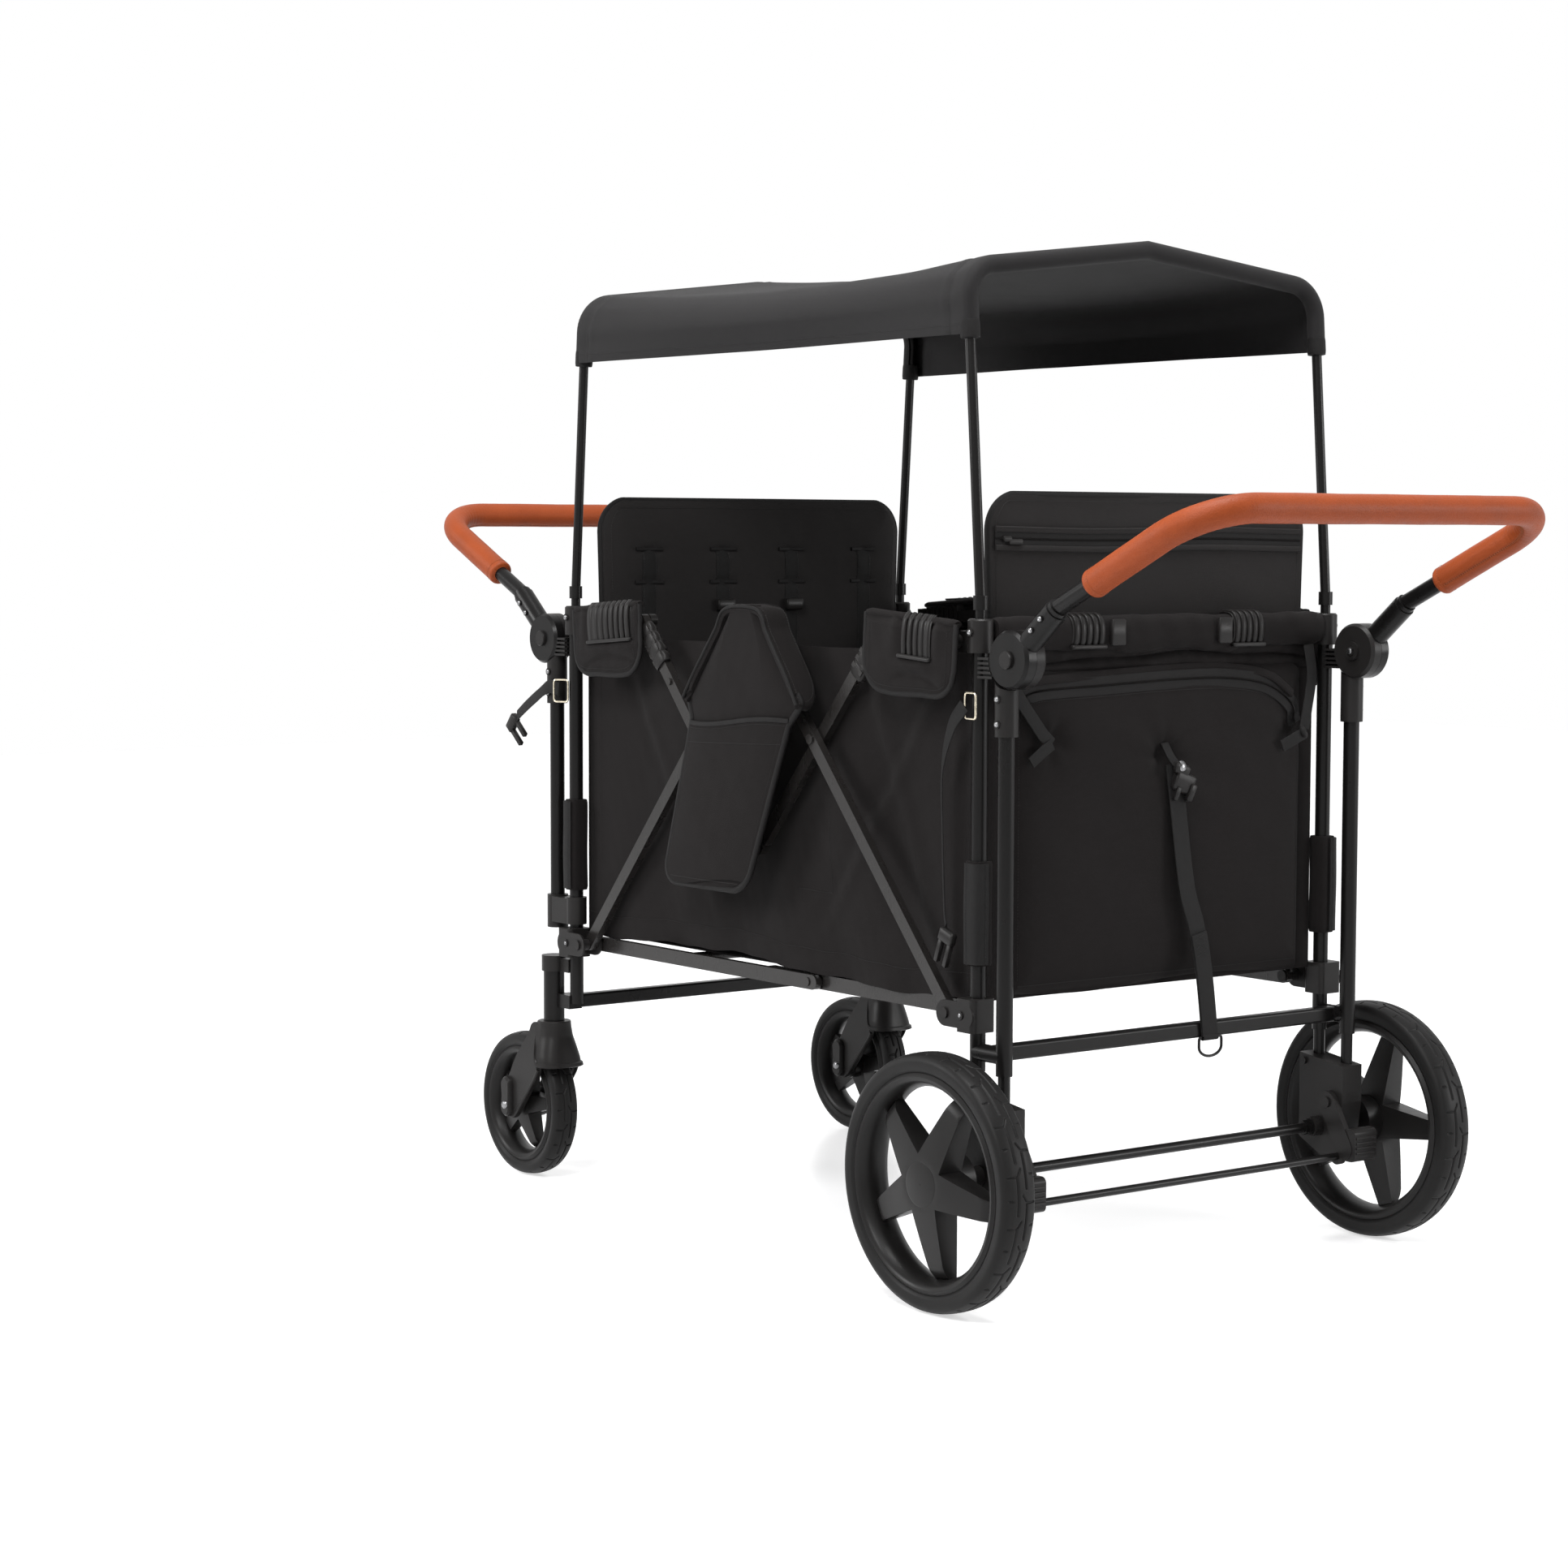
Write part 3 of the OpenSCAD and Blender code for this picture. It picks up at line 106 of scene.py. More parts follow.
# %% [markdown]
# ## Light and floor
# A black wagon shows its shape through soft highlights, so large lamps stand above and on both sides. The world is
# white for the camera and for reflections, and dimmer as a lamp. The floor is pale, keeps the shadow and glows a
# little for the camera alone, so that it melts into the background. Shader maths is written as sums and products of
# sockets, which a small class turns into nodes.

# %% Lamps
def unit(v):
    """A vector, or each vector of an array, divided by its length."""
    return v / np.linalg.norm(v, axis=-1, keepdims=True).clip(1e-12)


def lamp(name, place, size, power, target=(0, 0, 0.6)):
    """A square soft lamp at a place, turned so that its -Z axis points to the target."""
    data = bpy.data.lights.new(name, "AREA")
    data.shape, data.size, data.energy = "SQUARE", size, power
    obj = bpy.data.objects.new(name, data)
    bpy.context.collection.objects.link(obj)
    back = unit(np.subtract(place, target))
    side = unit(np.cross([0.0, 0.0, 1.0], back))
    turn = np.eye(4)
    turn[:3, :3] = np.stack([side, np.cross(back, side), back], axis=1)
    turn[:3, 3] = place
    obj.matrix_world = Matrix(turn.tolist())


lamp("lamp_top", (-0.4, -0.6, 3.4), 1.4, 95)
lamp("lamp_left", (-3.2, 2.0, 1.9), 1.2, 75)
lamp("lamp_rear", (2.6, -3.2, 1.3), 1.2, 62)
lamp("lamp_key", (-2.8, -1.6, 3.0), 1.1, 85)
print("four lamps")


# %% Shader maths
class S:
    """A socket of a shader tree that takes part in sums and products, each of which adds a Math node."""

    def __init__(self, tree, out):
        self.tree, self.out = tree, out

    def node(self, kind, ins=None, out=0, **props):
        """Adds a node of any kind, sets its properties, and links or fills its inputs by name or number."""
        made = self.tree.nodes.new(kind)
        for key, value in props.items():
            setattr(made, key, value)
        for key, value in (ins or {}).items():
            if isinstance(value, S):
                self.tree.links.new(value.out, made.inputs[key])
            else:
                made.inputs[key].default_value = value
        return S(self.tree, made.outputs[out])

    def math(self, operation, a, b=0.0):
        """A Math node of one operation on two values."""
        return self.node("ShaderNodeMath", {0: a, 1: b}, operation=operation)

    def __add__(self, other):
        return self.math("ADD", self, other)

    def __sub__(self, other):
        return self.math("SUBTRACT", self, other)

    def __rsub__(self, other):
        return self.math("SUBTRACT", other, self)

    def __mul__(self, other):
        return self.math("MULTIPLY", self, other)

    __radd__ = __add__
    __rmul__ = __mul__

    def step(self, low, high, to_low=0.0, to_high=1.0):
        """The value carried from the range low..high to another range, and held at its ends."""
        return self.node("ShaderNodeMapRange", {0: self, 1: low, 2: high, 3: to_low, 4: to_high})

    def mix(self, a, b):
        """Colour a where the value is 0 and b where it is 1."""
        return self.node("ShaderNodeMix", {0: self, 6: a, 7: b}, out=2, data_type="RGBA")


def start(owner):
    """Empties the node tree of a material or world and returns a socket wrapper to build from, and the output."""
    owner.use_nodes = True
    owner.node_tree.nodes.clear()
    kind = "ShaderNodeOutputWorld" if isinstance(owner, bpy.types.World) else "ShaderNodeOutputMaterial"
    return S(owner.node_tree, None), owner.node_tree.nodes.new(kind)


def seen(s):
    """1 for rays from the camera, and for rays that a glossy or clear surface sends on."""
    path = s.tree.nodes.new("ShaderNodeLightPath")
    pick = lambda name: S(s.tree, path.outputs[name])
    total = pick("Is Camera Ray") + pick("Is Glossy Ray") + pick("Is Transmission Ray")
    return total.math("MINIMUM", total, 1.0)


print("helpers of a socket:", [name for name in vars(S) if not name.startswith("_")])

# %% World and floor
WHITE, WORLD_LIGHT, FLOOR_GLOW, FLOOR_HALF = (1, 1, 1, 1), 0.18, 0.55, 9
world = bpy.context.scene.world or bpy.data.worlds.new("world")
bpy.context.scene.world = world
s, output = start(world)
sky = s.node("ShaderNodeBackground", {"Color": WHITE, "Strength": seen(s).step(0, 1, WORLD_LIGHT, 1.0)})
world.node_tree.links.new(sky.out, output.inputs["Surface"])

floor_material = bpy.data.materials.new("floor")
s, output = start(floor_material)
plain = s.node("ShaderNodeBsdfPrincipled",
               {"Base Color": (0.86, 0.86, 0.87, 1), "Roughness": 0.24, "Specular IOR Level": 0.22})
glow = s.node("ShaderNodeEmission", {"Color": WHITE, "Strength": seen(s) * FLOOR_GLOW})
both = s.node("ShaderNodeAddShader", {0: plain, 1: glow})
floor_material.node_tree.links.new(both.out, output.inputs["Surface"])
floor = bpy.data.objects.new("floor", bpy.data.meshes.new("floor"))
corners = [(x * FLOOR_HALF, y * FLOOR_HALF, 0) for x, y in ((-1, -1), (1, -1), (1, 1), (-1, 1))]
floor.data.from_pydata(corners, [], [(0, 1, 2, 3)])
floor.data.materials.append(floor_material)
bpy.context.collection.objects.link(floor)
bpy.context.scene.view_settings.view_transform = "Standard"
print("a white world and a pale floor")

# %% [markdown]
# ## Materials
# The wagon is black in many finishes: coated tube, moulded plastic, rubber, woven cloth, webbing and tape, with tan
# leather on the handles. Pictures of such surfaces could be laid on, but recipes of noise and waves stay sharp at any
# distance. Each material starts from a colour, a roughness and a gloss level that are the same all over, set on the
# shader itself. A small recipe then adds what varies: weave, grain, pebbling, dust and rubbed places drive the colour,
# the roughness and a bump. New cloth pieces carry UVs in metres, so a thread has its true size on every one of them.

# %% Recipes
def finish(name, colour, rough, spec, recipe, metal=0.0, sheen=0.0):
    """A material: the recipe gives a tone from 0, darker, to 1, lighter, a roughness offset and a height in metres."""
    made = bpy.data.materials.new(name)
    s, output = start(made)
    shade = made.node_tree.nodes.new("ShaderNodeBsdfPrincipled")
    shade.inputs["Metallic"].default_value = metal
    shade.inputs["Specular IOR Level"].default_value = spec
    shade.inputs["Sheen Weight"].default_value = sheen
    shade.inputs["Sheen Roughness"].default_value = 0.6
    tone, change, height = recipe(s)
    dark = [0.72 * c for c in colour]
    light = [1.25 * c for c in colour]
    made.node_tree.links.new(tone.mix((*dark, 1), (*light, 1)).out, shade.inputs["Base Color"])
    made.node_tree.links.new((change + rough).out, shade.inputs["Roughness"])
    bump = s.node("ShaderNodeBump", {"Height": height, "Strength": 1.0, "Distance": 1.0})
    made.node_tree.links.new(bump.out, shade.inputs["Normal"])
    made.node_tree.links.new(shade.outputs[0], output.inputs["Surface"])
    made.diffuse_color = (*colour, 1)
    return made


def place(s, kind="Object"):
    """The coordinates of the shaded point: the object's own, or the UVs."""
    return s.node("ShaderNodeTexCoord", out={"UV": 2, "Object": 3}[kind])


def noise(s, where, scale, detail=2.0, stretch=(1, 1, 1)):
    """Soft noise of a given number of lumps per metre, that can be drawn out along an axis."""
    where = s.node("ShaderNodeMapping", {"Vector": where, "Scale": stretch})
    return s.node("ShaderNodeTexNoise", {"Vector": where, "Scale": scale, "Detail": detail, "Roughness": 0.55})


def woven(pitch, depth, twill=0.0, dust=0.35):
    """A weave: sine waves across warp and weft, leaning into a twill, over a mottled and slightly dusty ground."""
    def recipe(s):
        uv, here = place(s, "UV"), place(s)
        u = s.node("ShaderNodeSeparateXYZ", {0: uv}, out=0)
        v = s.node("ShaderNodeSeparateXYZ", {0: uv}, out=1)
        turn = 2 * np.pi / pitch
        warp = s.math("SINE", (u + v * twill) * turn)
        weft = s.math("SINE", (v - u * twill) * turn)
        thread = warp * weft * 0.5 + 0.5
        cloudy = noise(s, here, 9, 4)
        lint = noise(s, here, 420, 2)
        slub = noise(s, uv, 60, 2, (1, 14, 1))
        tone = cloudy * 0.5 + thread * 0.22 + slub * 0.25 + lint.step(0.62, 0.75) * dust - 0.05
        change = (thread - 0.5) * -0.08 + (cloudy - 0.5) * 0.15
        return tone, change, thread * depth + lint * (depth * 0.5) + slub * (depth * 0.6)
    return recipe


def grained(scale, depth, rub):
    """Moulded or coated skin: fine grain, with broad rubbed patches that are smoother and a touch lighter."""
    def recipe(s):
        here = place(s)
        grain, patch = noise(s, here, scale, 2), noise(s, here, 17, 3)
        streak = noise(s, here, 55, 3, (1, 1, 0.12))
        return grain * 0.3 + patch * 0.5 + streak * 0.2, (patch - 0.5) * -rub + (streak - 0.5) * 0.12, grain * depth
    return recipe


def hide(s):
    """Leather: rounded pebbles from cell distances, creases between them, a cloudy dye and polished high spots."""
    here = place(s)
    cells = s.node("ShaderNodeTexVoronoi", {"Vector": here, "Scale": 640.0})
    wide = s.node("ShaderNodeTexVoronoi", {"Vector": here, "Scale": 210.0})
    cloud = noise(s, here, 26, 4)
    return cloud * 0.8 + cells * -0.25 + 0.25, cells * 0.18 + (cloud - 0.5) * 0.2, cells * -0.00022 + wide * -0.00010


def brushed(s):
    """Drawn metal: streaks along one axis that change the gloss and scratch the surface."""
    streak = noise(s, place(s), 240, 3, (0.04, 1, 1))
    return streak, (streak - 0.5) * 0.3, streak * 0.00002


print("recipes:", [recipe.__name__ for recipe in (woven, grained, hide, brushed)])

# %% Materials
COAT = finish("powder_coat", (0.0062, 0.0058, 0.0057), 0.30, 0.14, grained(1500, 0.00002, 0.14))
BAR = finish("bar_coat", (0.016, 0.0145, 0.0138), 0.27, 0.30, grained(1200, 0.00002, 0.12))
PLASTIC = finish("moulded_plastic", (0.0150, 0.0140, 0.0137), 0.36, 0.13, grained(2200, 0.00005, 0.18))
WHEEL_PLASTIC = finish("wheel_plastic", (0.0100, 0.0094, 0.0092), 0.36, 0.15, grained(1700, 0.00004, 0.16))
RUBBER = finish("tyre_rubber", (0.0100, 0.0096, 0.0095), 0.46, 0.12, grained(900, 0.00006, 0.2))
STEEL = finish("steel", (0.22, 0.22, 0.225), 0.34, 0.5, brushed, metal=1.0)
BRASS = finish("ring_metal", (0.62, 0.56, 0.44), 0.26, 0.5, brushed, metal=1.0)
CLOTH = finish("polyester_cloth", (0.0105, 0.0091, 0.0090), 0.74, 0.05, woven(0.0011, 0.00016, 0.35), sheen=0.02)
CANOPY = finish("canopy_cloth", (0.0135, 0.0128, 0.0132), 0.62, 0.09, woven(0.0009, 0.00010, 0.0), sheen=0.03)
# The seat cloth is a fabric of its own. Its colour is also lifted above the other cloth's, to paint in the sheen that
# the seats and backs show.
MESHY = finish("seat_cloth", (0.0180, 0.0164, 0.0162), 0.74, 0.08, woven(0.0013, 0.00020, 0.5), sheen=0.03)
WEB = finish("webbing", (0.0105, 0.0100, 0.0100), 0.62, 0.14, woven(0.0016, 0.00030, 0.9, 0.2))
BINDING = finish("binding_tape", (0.0088, 0.0082, 0.0082), 0.60, 0.13, woven(0.0012, 0.00022, 0.0, 0.2))
THREAD = finish("thread", (0.017, 0.0160, 0.0158), 0.55, 0.20, grained(900, 0.00002, 0.1))
LEATHER = finish("tan_leather", (0.27, 0.052, 0.013), 0.40, 0.17, hide)
LEATHER_EDGE = finish("leather_edge", (0.17, 0.034, 0.010), 0.55, 0.25, hide)
TAN_THREAD = finish("tan_thread", (0.30, 0.083, 0.030), 0.6, 0.25, grained(900, 0.00002, 0.1))
SLOTS = {"frame_black": COAT, "bar_black": BAR, "plastic_black": PLASTIC, "axle_steel": COAT,
         "rim_black": WHEEL_PLASTIC, "tyre_black": RUBBER, "leather_tan": LEATHER, "cloth_black": CLOTH,
         "seat_cloth": MESHY, "floor_cloth": CLOTH, "webbing_black": WEB}
for part in frame["record"]["subparts"]:
    skin = frame["nodes"][part["node"]].data.materials
    skin.clear()
    skin.append(SLOTS[part["material_slot"]])
print(len(bpy.data.materials), "materials, given to", len(frame["nodes"]), "CAD nodes")

# %% [markdown]
# ## From grids of points to meshes
# Pieces could be modelled by hand or with modifiers. Here they are arrays, because then each shape is a formula that
# can be read, and one piece can be laid on another's surface. A surface is a grid of points, row by row. `grid` lays
# quads between its points, `slab` gives a sheet its thickness, and `sweep` carries a small profile along a path. Each
# returns a patch, which is points, faces and UVs in metres, and `build` joins patches into one object that rides on a
# body of the frame.

# %% Lines and profiles
def length_of(path):
    """The sum of the distances between a line's points."""
    return float(np.linalg.norm(np.diff(path, axis=0), axis=1).sum())


def even(path, step=None, count=None):
    """Points at equal distances along a line of points."""
    path = np.asarray(path, float)
    run = np.concatenate([[0], np.cumsum(np.linalg.norm(np.diff(path, axis=0), axis=1))])
    at = np.linspace(0, run[-1], count or max(3, int(run[-1] / step) + 1))
    return np.stack([np.interp(at, run, path[:, k]) for k in range(3)], axis=1)


def curve(points, count=40):
    """A smooth line through points: a cubic whose slope at each point is half the way between its neighbours."""
    p = np.asarray(points, float)
    p = np.concatenate([2 * p[:1] - p[1:2], p, 2 * p[-1:] - p[-2:-1]])
    t = np.linspace(0, len(points) - 1, 24 * len(points))
    i = np.minimum(t.astype(int), len(points) - 2)
    f = (t - i)[:, None]
    a, b, c, d = p[i], p[i + 1], p[i + 2], p[i + 3]
    fine = b + 0.5 * f * (c - a + f * (2 * a - 5 * b + 4 * c - d + f * (3 * b - a - 3 * c + d)))
    return even(fine, count=count)


def circle(r, n=12):
    """Points of a circle: cosine and sine of equal angles, times the radius."""
    a = np.arange(n) * 2 * np.pi / n
    return r * np.stack([np.cos(a), np.sin(a)], axis=1)


def band(width, thick):
    """The cross-section of a tape: straight faces and two half-round edges."""
    a = np.linspace(-np.pi / 2, np.pi / 2, 5)
    end = np.stack([width / 2 - thick / 2 + thick / 2 * np.cos(a), thick / 2 * np.sin(a)], axis=1)
    return np.concatenate([end, -end])


def rounded_square(turn, power=3):
    """Its radius by angle: 1 over the power's root of the sum of |cosine| and |sine|, each raised to the power."""
    return (np.abs(np.cos(turn)) ** power + np.abs(np.sin(turn)) ** power) ** (-1 / power)


def bump_at(x, center, width):
    """A smooth hill of height 1."""
    return np.exp(-((x - center) / width) ** 2)


def ripple(a, b, seed, size):
    """Soft wrinkles between -1 and 1: sine waves in random directions, weaker as they get shorter."""
    pick = np.random.default_rng(seed)
    total = 0
    for k in range(8):
        angle, phase = pick.uniform(0, 2 * np.pi, 2)
        wave = size * 0.8 ** k
        total = total + np.sin((a * np.cos(angle) + b * np.sin(angle)) * 2 * np.pi / wave + phase) * 0.8 ** k
    return total / 4


print("points round a tape:", len(band(0.010, 0.002)))

# %% Grids, sheets and sweeps
def grid(P, wrap=False, caps=False):
    """Quads between neighbouring points of a grid, with UVs that are the lengths along rows and columns."""
    rows, cols = P.shape[:2]
    ring = np.concatenate([P, P[:, :1]], axis=1) if wrap else P
    v = np.concatenate([[0], np.cumsum(np.linalg.norm(np.diff(P, axis=0), axis=2).mean(axis=1))])
    u = np.concatenate([[0], np.cumsum(np.linalg.norm(np.diff(ring, axis=1), axis=2).mean(axis=0))])
    i, j = [x.ravel() for x in np.meshgrid(np.arange(rows - 1), np.arange(ring.shape[1] - 1), indexing="ij")]
    k = (j + 1) % cols
    quads = np.stack([i * cols + j, i * cols + k, (i + 1) * cols + k, (i + 1) * cols + j], axis=1)
    uv = np.stack([np.stack([u[j], v[i]], 1), np.stack([u[j + 1], v[i]], 1),
                   np.stack([u[j + 1], v[i + 1]], 1), np.stack([u[j], v[i + 1]], 1)], axis=1)
    points = P.reshape(-1, 3)
    ends = [np.arange(cols)[None], (rows - 1) * cols + np.arange(cols)[None]] if caps else []
    return points, [quads] + ends, [uv] + [points[e][..., :2] for e in ends]


def normals(P):
    """The direction square to the surface at each point of a grid."""
    return unit(np.cross(np.gradient(P, axis=1), np.gradient(P, axis=0)))


def outward(P, row, column, axis):
    """The normals of a grid, all turned round if the one at a chosen point looks down its axis."""
    return normals(P) * np.sign(normals(P)[row, column, axis])


def solid(P, Q):
    """A closed piece between two grids of the same shape, with a strip round the edge."""
    rows, cols = P.shape[:2]
    n = rows * cols
    points, (quads,), (uv,) = grid(P)
    rim = np.concatenate([np.arange(cols), cols * np.arange(1, rows) + cols - 1,
                          n - 2 - np.arange(cols - 1), cols * np.arange(rows - 2, 0, -1)])
    after = np.roll(rim, -1)
    edge = np.stack([rim, after, after + n, rim + n], axis=1)
    both = np.concatenate([points, Q.reshape(-1, 3)])
    return both, [quads, quads[:, ::-1] + n, edge], [uv, uv[:, ::-1], both[edge][..., 1:]]


def slab(P, thick):
    """A sheet with a thickness: the grid moved out and in along its normals."""
    shift = normals(P) * (np.asarray(thick) / 2 * np.ones(P.shape[:2]))[..., None]
    return solid(P + shift, P - shift)


def sweep(path, profile, side=(0, 0, 1), caps=True):
    """A closed profile carried along a path; the profile's second axis leans towards the side direction."""
    path = np.asarray(path, float)
    along = unit(np.gradient(path, axis=0))
    first = unit(np.cross(np.broadcast_to(np.asarray(side, float), path.shape), along))
    second = np.cross(along, first)
    shape = profile if np.ndim(profile) == 3 else np.broadcast_to(profile, (len(path), *np.shape(profile)))
    P = path[:, None] + shape[..., :1] * first[:, None] + shape[..., 1:] * second[:, None]
    return grid(P, True, caps)


def rod(path, radii, side, count):
    """A round rod along a path, with a radius for each of its points."""
    return sweep(path, circle(1.0, count)[None] * np.asarray(radii)[:, None, None], side)


def loop(center, across, up, wire, upper=1.0, lower=1.0):
    """A closed loop of wire: cosine along one vector, sine along another; a power below 1 squares off that half."""
    a = np.linspace(0, 2 * np.pi, 241)[:, None]
    power = np.where(np.sin(a) > 0, upper, lower)
    bent = lambda wave: np.sign(wave) * np.abs(wave) ** power
    path = np.asarray(center) + bent(np.cos(a)) * np.asarray(across) + bent(np.sin(a)) * np.asarray(up)
    return sweep(even(path, count=61), circle(wire, 10), np.cross(across, up), caps=False)


def block(center, size, bevel=0.001, axes=np.eye(3)):
    """A box with softened edges: a rounded outline at four levels, the outer two drawn in by the bevel."""
    w, d, h = np.asarray(size) / 2
    square = circle(1.0, 24)
    square = np.sign(square) * np.abs(square) ** 0.25
    levels = [(-h, bevel), (-h + bevel, 0), (h - bevel, 0), (h, bevel)]
    P = np.stack([np.c_[square * [w - b, d - b], np.full(24, z)] for z, b in levels])
    return grid(P @ np.asarray(axes, float) + np.asarray(center), True, True)


print("faces of a block:", sum(len(faces) for faces in block((0, 0, 0), (1, 1, 1))[1]))

# %% Stitches and objects
def spindles(a, b, side, thick):
    """Small drawn-out octahedra from the points a to the points b."""
    mid, half = (a + b) / 2, (b - a) / 2
    first = unit(np.cross(half, np.broadcast_to(np.asarray(side, float), half.shape))) * thick
    second = unit(np.cross(first, half)) * thick
    points = (mid[:, None] + np.stack([-half, first, second, -first, -second, half], axis=1)).reshape(-1, 3)
    shape = np.array([[0, 2, 1], [0, 3, 2], [0, 4, 3], [0, 1, 4], [5, 1, 2], [5, 2, 3], [5, 3, 4], [5, 4, 1]])
    faces = (np.arange(len(mid))[:, None, None] * 6 + shape).reshape(-1, 3)
    return points, [faces], [points[faces][..., :2]]


def stitches(path, side, pitch=0.0036, thick=0.00045):
    """A row of stitches: spindles end to end along a path, with a little space between them."""
    path = even(path, pitch)
    gap = 0.1 * np.diff(path, axis=0)
    return spindles(path[:-1] + gap, path[1:] - gap, side, thick)


def build(name, patches, material, body=None, sharp=50):
    """One object from patches: welded, faces turned outward, smooth but for sharp edges, riding on a body."""
    points, faces, uvs, base = [], [], [], 0
    for verts, polygons, coords in patches:
        points.append(verts)
        for polygon, coord in zip(polygons, coords):
            faces.extend((polygon + base).tolist())
            uvs.append(coord.reshape(-1, 2))
        base += len(verts)
    data = bpy.data.meshes.new(name)
    data.from_pydata(np.concatenate(points).tolist(), [], faces)
    data.uv_layers.new(name="UVMap").data.foreach_set("uv", np.concatenate(uvs).astype(np.float32).ravel())
    work = bmesh.new()
    work.from_mesh(data)
    bmesh.ops.remove_doubles(work, verts=work.verts, dist=2e-6)
    bmesh.ops.recalc_face_normals(work, faces=work.faces)
    work.to_mesh(data)
    work.free()
    data.polygons.foreach_set("use_smooth", [True] * len(data.polygons))
    data.set_sharp_from_angle(angle=np.radians(sharp))
    data.materials.append(material)
    obj = bpy.data.objects.new(name, data)
    bpy.context.collection.objects.link(obj)
    if body:
        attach(obj, body)
    return obj


print("stitches in 100 mm:", len(stitches([[0, 0, 0], [0.1, 0, 0]], (0, 0, 1))[1][0]) // 8)

# %% [markdown]
# ## The hanging strap
# The strap of the rear bag hangs free. It follows the points of the CAD strap: from the buckle it leans out over the
# bag and ends in a sewn loop that carries a ring. A curve with a bevel would make a round cord, so a flat band is
# swept along the points.

# %% The hanging strap
STRAP_FOOT, LOOP_AT, LOOP_RADIUS = [0, -0.4467, 0.278], [0.0555, -0.4467, 0.2755], 0.0033
strap_points = np.array([[4, 11.5, 322], [8, 9.5, 282], [19, 3.5, 179], [34, 1.5, 129], [45, 0, 72], [55, 0, 0]])
strap_points = strap_points / 1000 + STRAP_FOOT
strap_path = curve(strap_points, 70)
strap = build("hanging_strap", [sweep(strap_path, band(0.025, 0.0018), REARWARD)], WEB, "rear_frame")
wire = loop((0.057, -0.4467, 0.264), (0.0182, 0, 0), (0, 0, 0.0115), 0.0017, upper=0.2)
ring = build("strap_ring", [wire], COAT, "rear_frame")
turn = np.linspace(0, 2 * np.pi, 25)
loop_path = LOOP_AT + LOOP_RADIUS * np.stack([0 * turn, np.cos(turn), np.sin(turn)], 1)
front_layer = strap_path[strap_path[:, 2] < 0.40] - [0, 0.0021, 0]
across = np.linspace(-1, 1, 9)
bars = [stitches(front_layer[k] + np.outer(across, [0.0095, 0.001 * w, 0.004 * w]) - [0, 0.0012, 0], REARWARD, 0.0024)
        for k in (1, 3, 5) for w in (1, -1)]
strap_loop = build("strap_loop", [sweep(loop_path, band(0.0245, 0.0016), loop_path - LOOP_AT),
                                  sweep(front_layer, band(0.0245, 0.0016), REARWARD)], WEB, "rear_frame")
strap_seams = build("strap_seams", bars, THREAD, "rear_frame")
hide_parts("tow_strap")

# %% [markdown]
# ## Canopy
# One cloth lies over both bows. It could be draped by simulation, but the bows hold it so tight that a formula gives
# its shape and repeats exactly. Its section is the bow's own outline, moved out to lie over the pole: a straight
# valance, a round eave, a slope to the ridge. Along the wagon it wraps round the rear pole, sags to the front one and
# wraps round that. The bows slide together when the wagon folds; between them the cloth is a blend of their two edges.

# %% The bows' outline
slope = np.arctan2(RISE, TRACK - BEND)
bow_h = (RIDGE - POLE - KINK) / np.cos(LEAN) - (TRACK - BEND) * np.tan(slope) - BEND / np.cos(slope)
hem_p = (HEM - KINK) / np.cos(LEAN)


def bow_section(offset):
    """Left hem, valance, eave and roof to the ridge and down the other side, as x and height in the bow's plane."""
    up = np.linspace(hem_p, bow_h, 12)
    turn = np.linspace(0, np.pi / 2 - slope, 14)[1:]
    eave = np.stack([TRACK - BEND + (BEND + offset) * np.cos(turn), bow_h + (BEND + offset) * np.sin(turn)], 1)
    x = np.linspace(eave[-1, 0], 0, 22)[1:]
    roof = np.stack([x, bow_h + (BEND + offset) / np.cos(slope) + (TRACK - BEND - x) * np.tan(slope)], 1)
    half = np.concatenate([np.stack([np.full(12, TRACK + offset), up], 1), eave, roof])
    return np.concatenate([half * [-1, 1], half[-2::-1]])


def on_bow(end, angle, reach):
    """Points round the pole of a bow: angle 0 is outside the bow's outline, 90 degrees faces the wagon's end."""
    core, skin_line = bow_section(0.0), bow_section(reach)
    out = (skin_line - core) * np.cos(angle)
    x, p = (core + out).T
    slip = reach * np.sin(angle)
    y = end * (BASE - p * np.sin(LEAN) + slip * np.cos(LEAN))
    return np.stack([x, y, KINK + p * np.cos(LEAN) + slip * np.sin(LEAN)], 1)


print("bow from hem to hem", round(length_of(bow_section(0.0)), 3), "m")

# %% Canopy cloth
REACH, WRAP_ROWS, SEAM_FROM_BOW = 0.0101, 16, 0.0215  # from the pole's middle to the cloth, rows round it, its seam
wraps = np.radians(np.linspace(212, 0, WRAP_ROWS))
rear_edge, front_edge = on_bow(-1, 0, REACH), on_bow(1, 0, REACH)
share = np.concatenate([np.linspace(0, 0.06, 9), np.linspace(0.06, 0.94, 54)[1:-1], np.linspace(0.94, 1, 9)])[1:-1]
u = (2 * share - 1)[:, None]
middle = rear_edge + (front_edge - rear_edge) * share[:, None, None]
height = np.clip((bow_section(REACH)[:, 1] - hem_p) / (bow_h - hem_p + BEND), 0, 1)
middle[..., 0] *= 1 - (0.012 + 0.040 * np.clip(1 - 2 * height, 0, 1)) * (1 - u ** 2) ** 2
middle[..., 2] -= SAG * (1 - u ** 2) * height
from_bow = np.minimum(share, 1 - share)[:, None] * (front_edge - rear_edge)[:, 1]
run = np.cumsum(np.linalg.norm(np.diff(rear_edge, axis=0, prepend=rear_edge[:1]), axis=1))
gathers = np.sin(run[None] * 2 * np.pi / 0.031) * np.exp(-from_bow / 0.055) * np.clip(from_bow / 0.02, 0, 1)
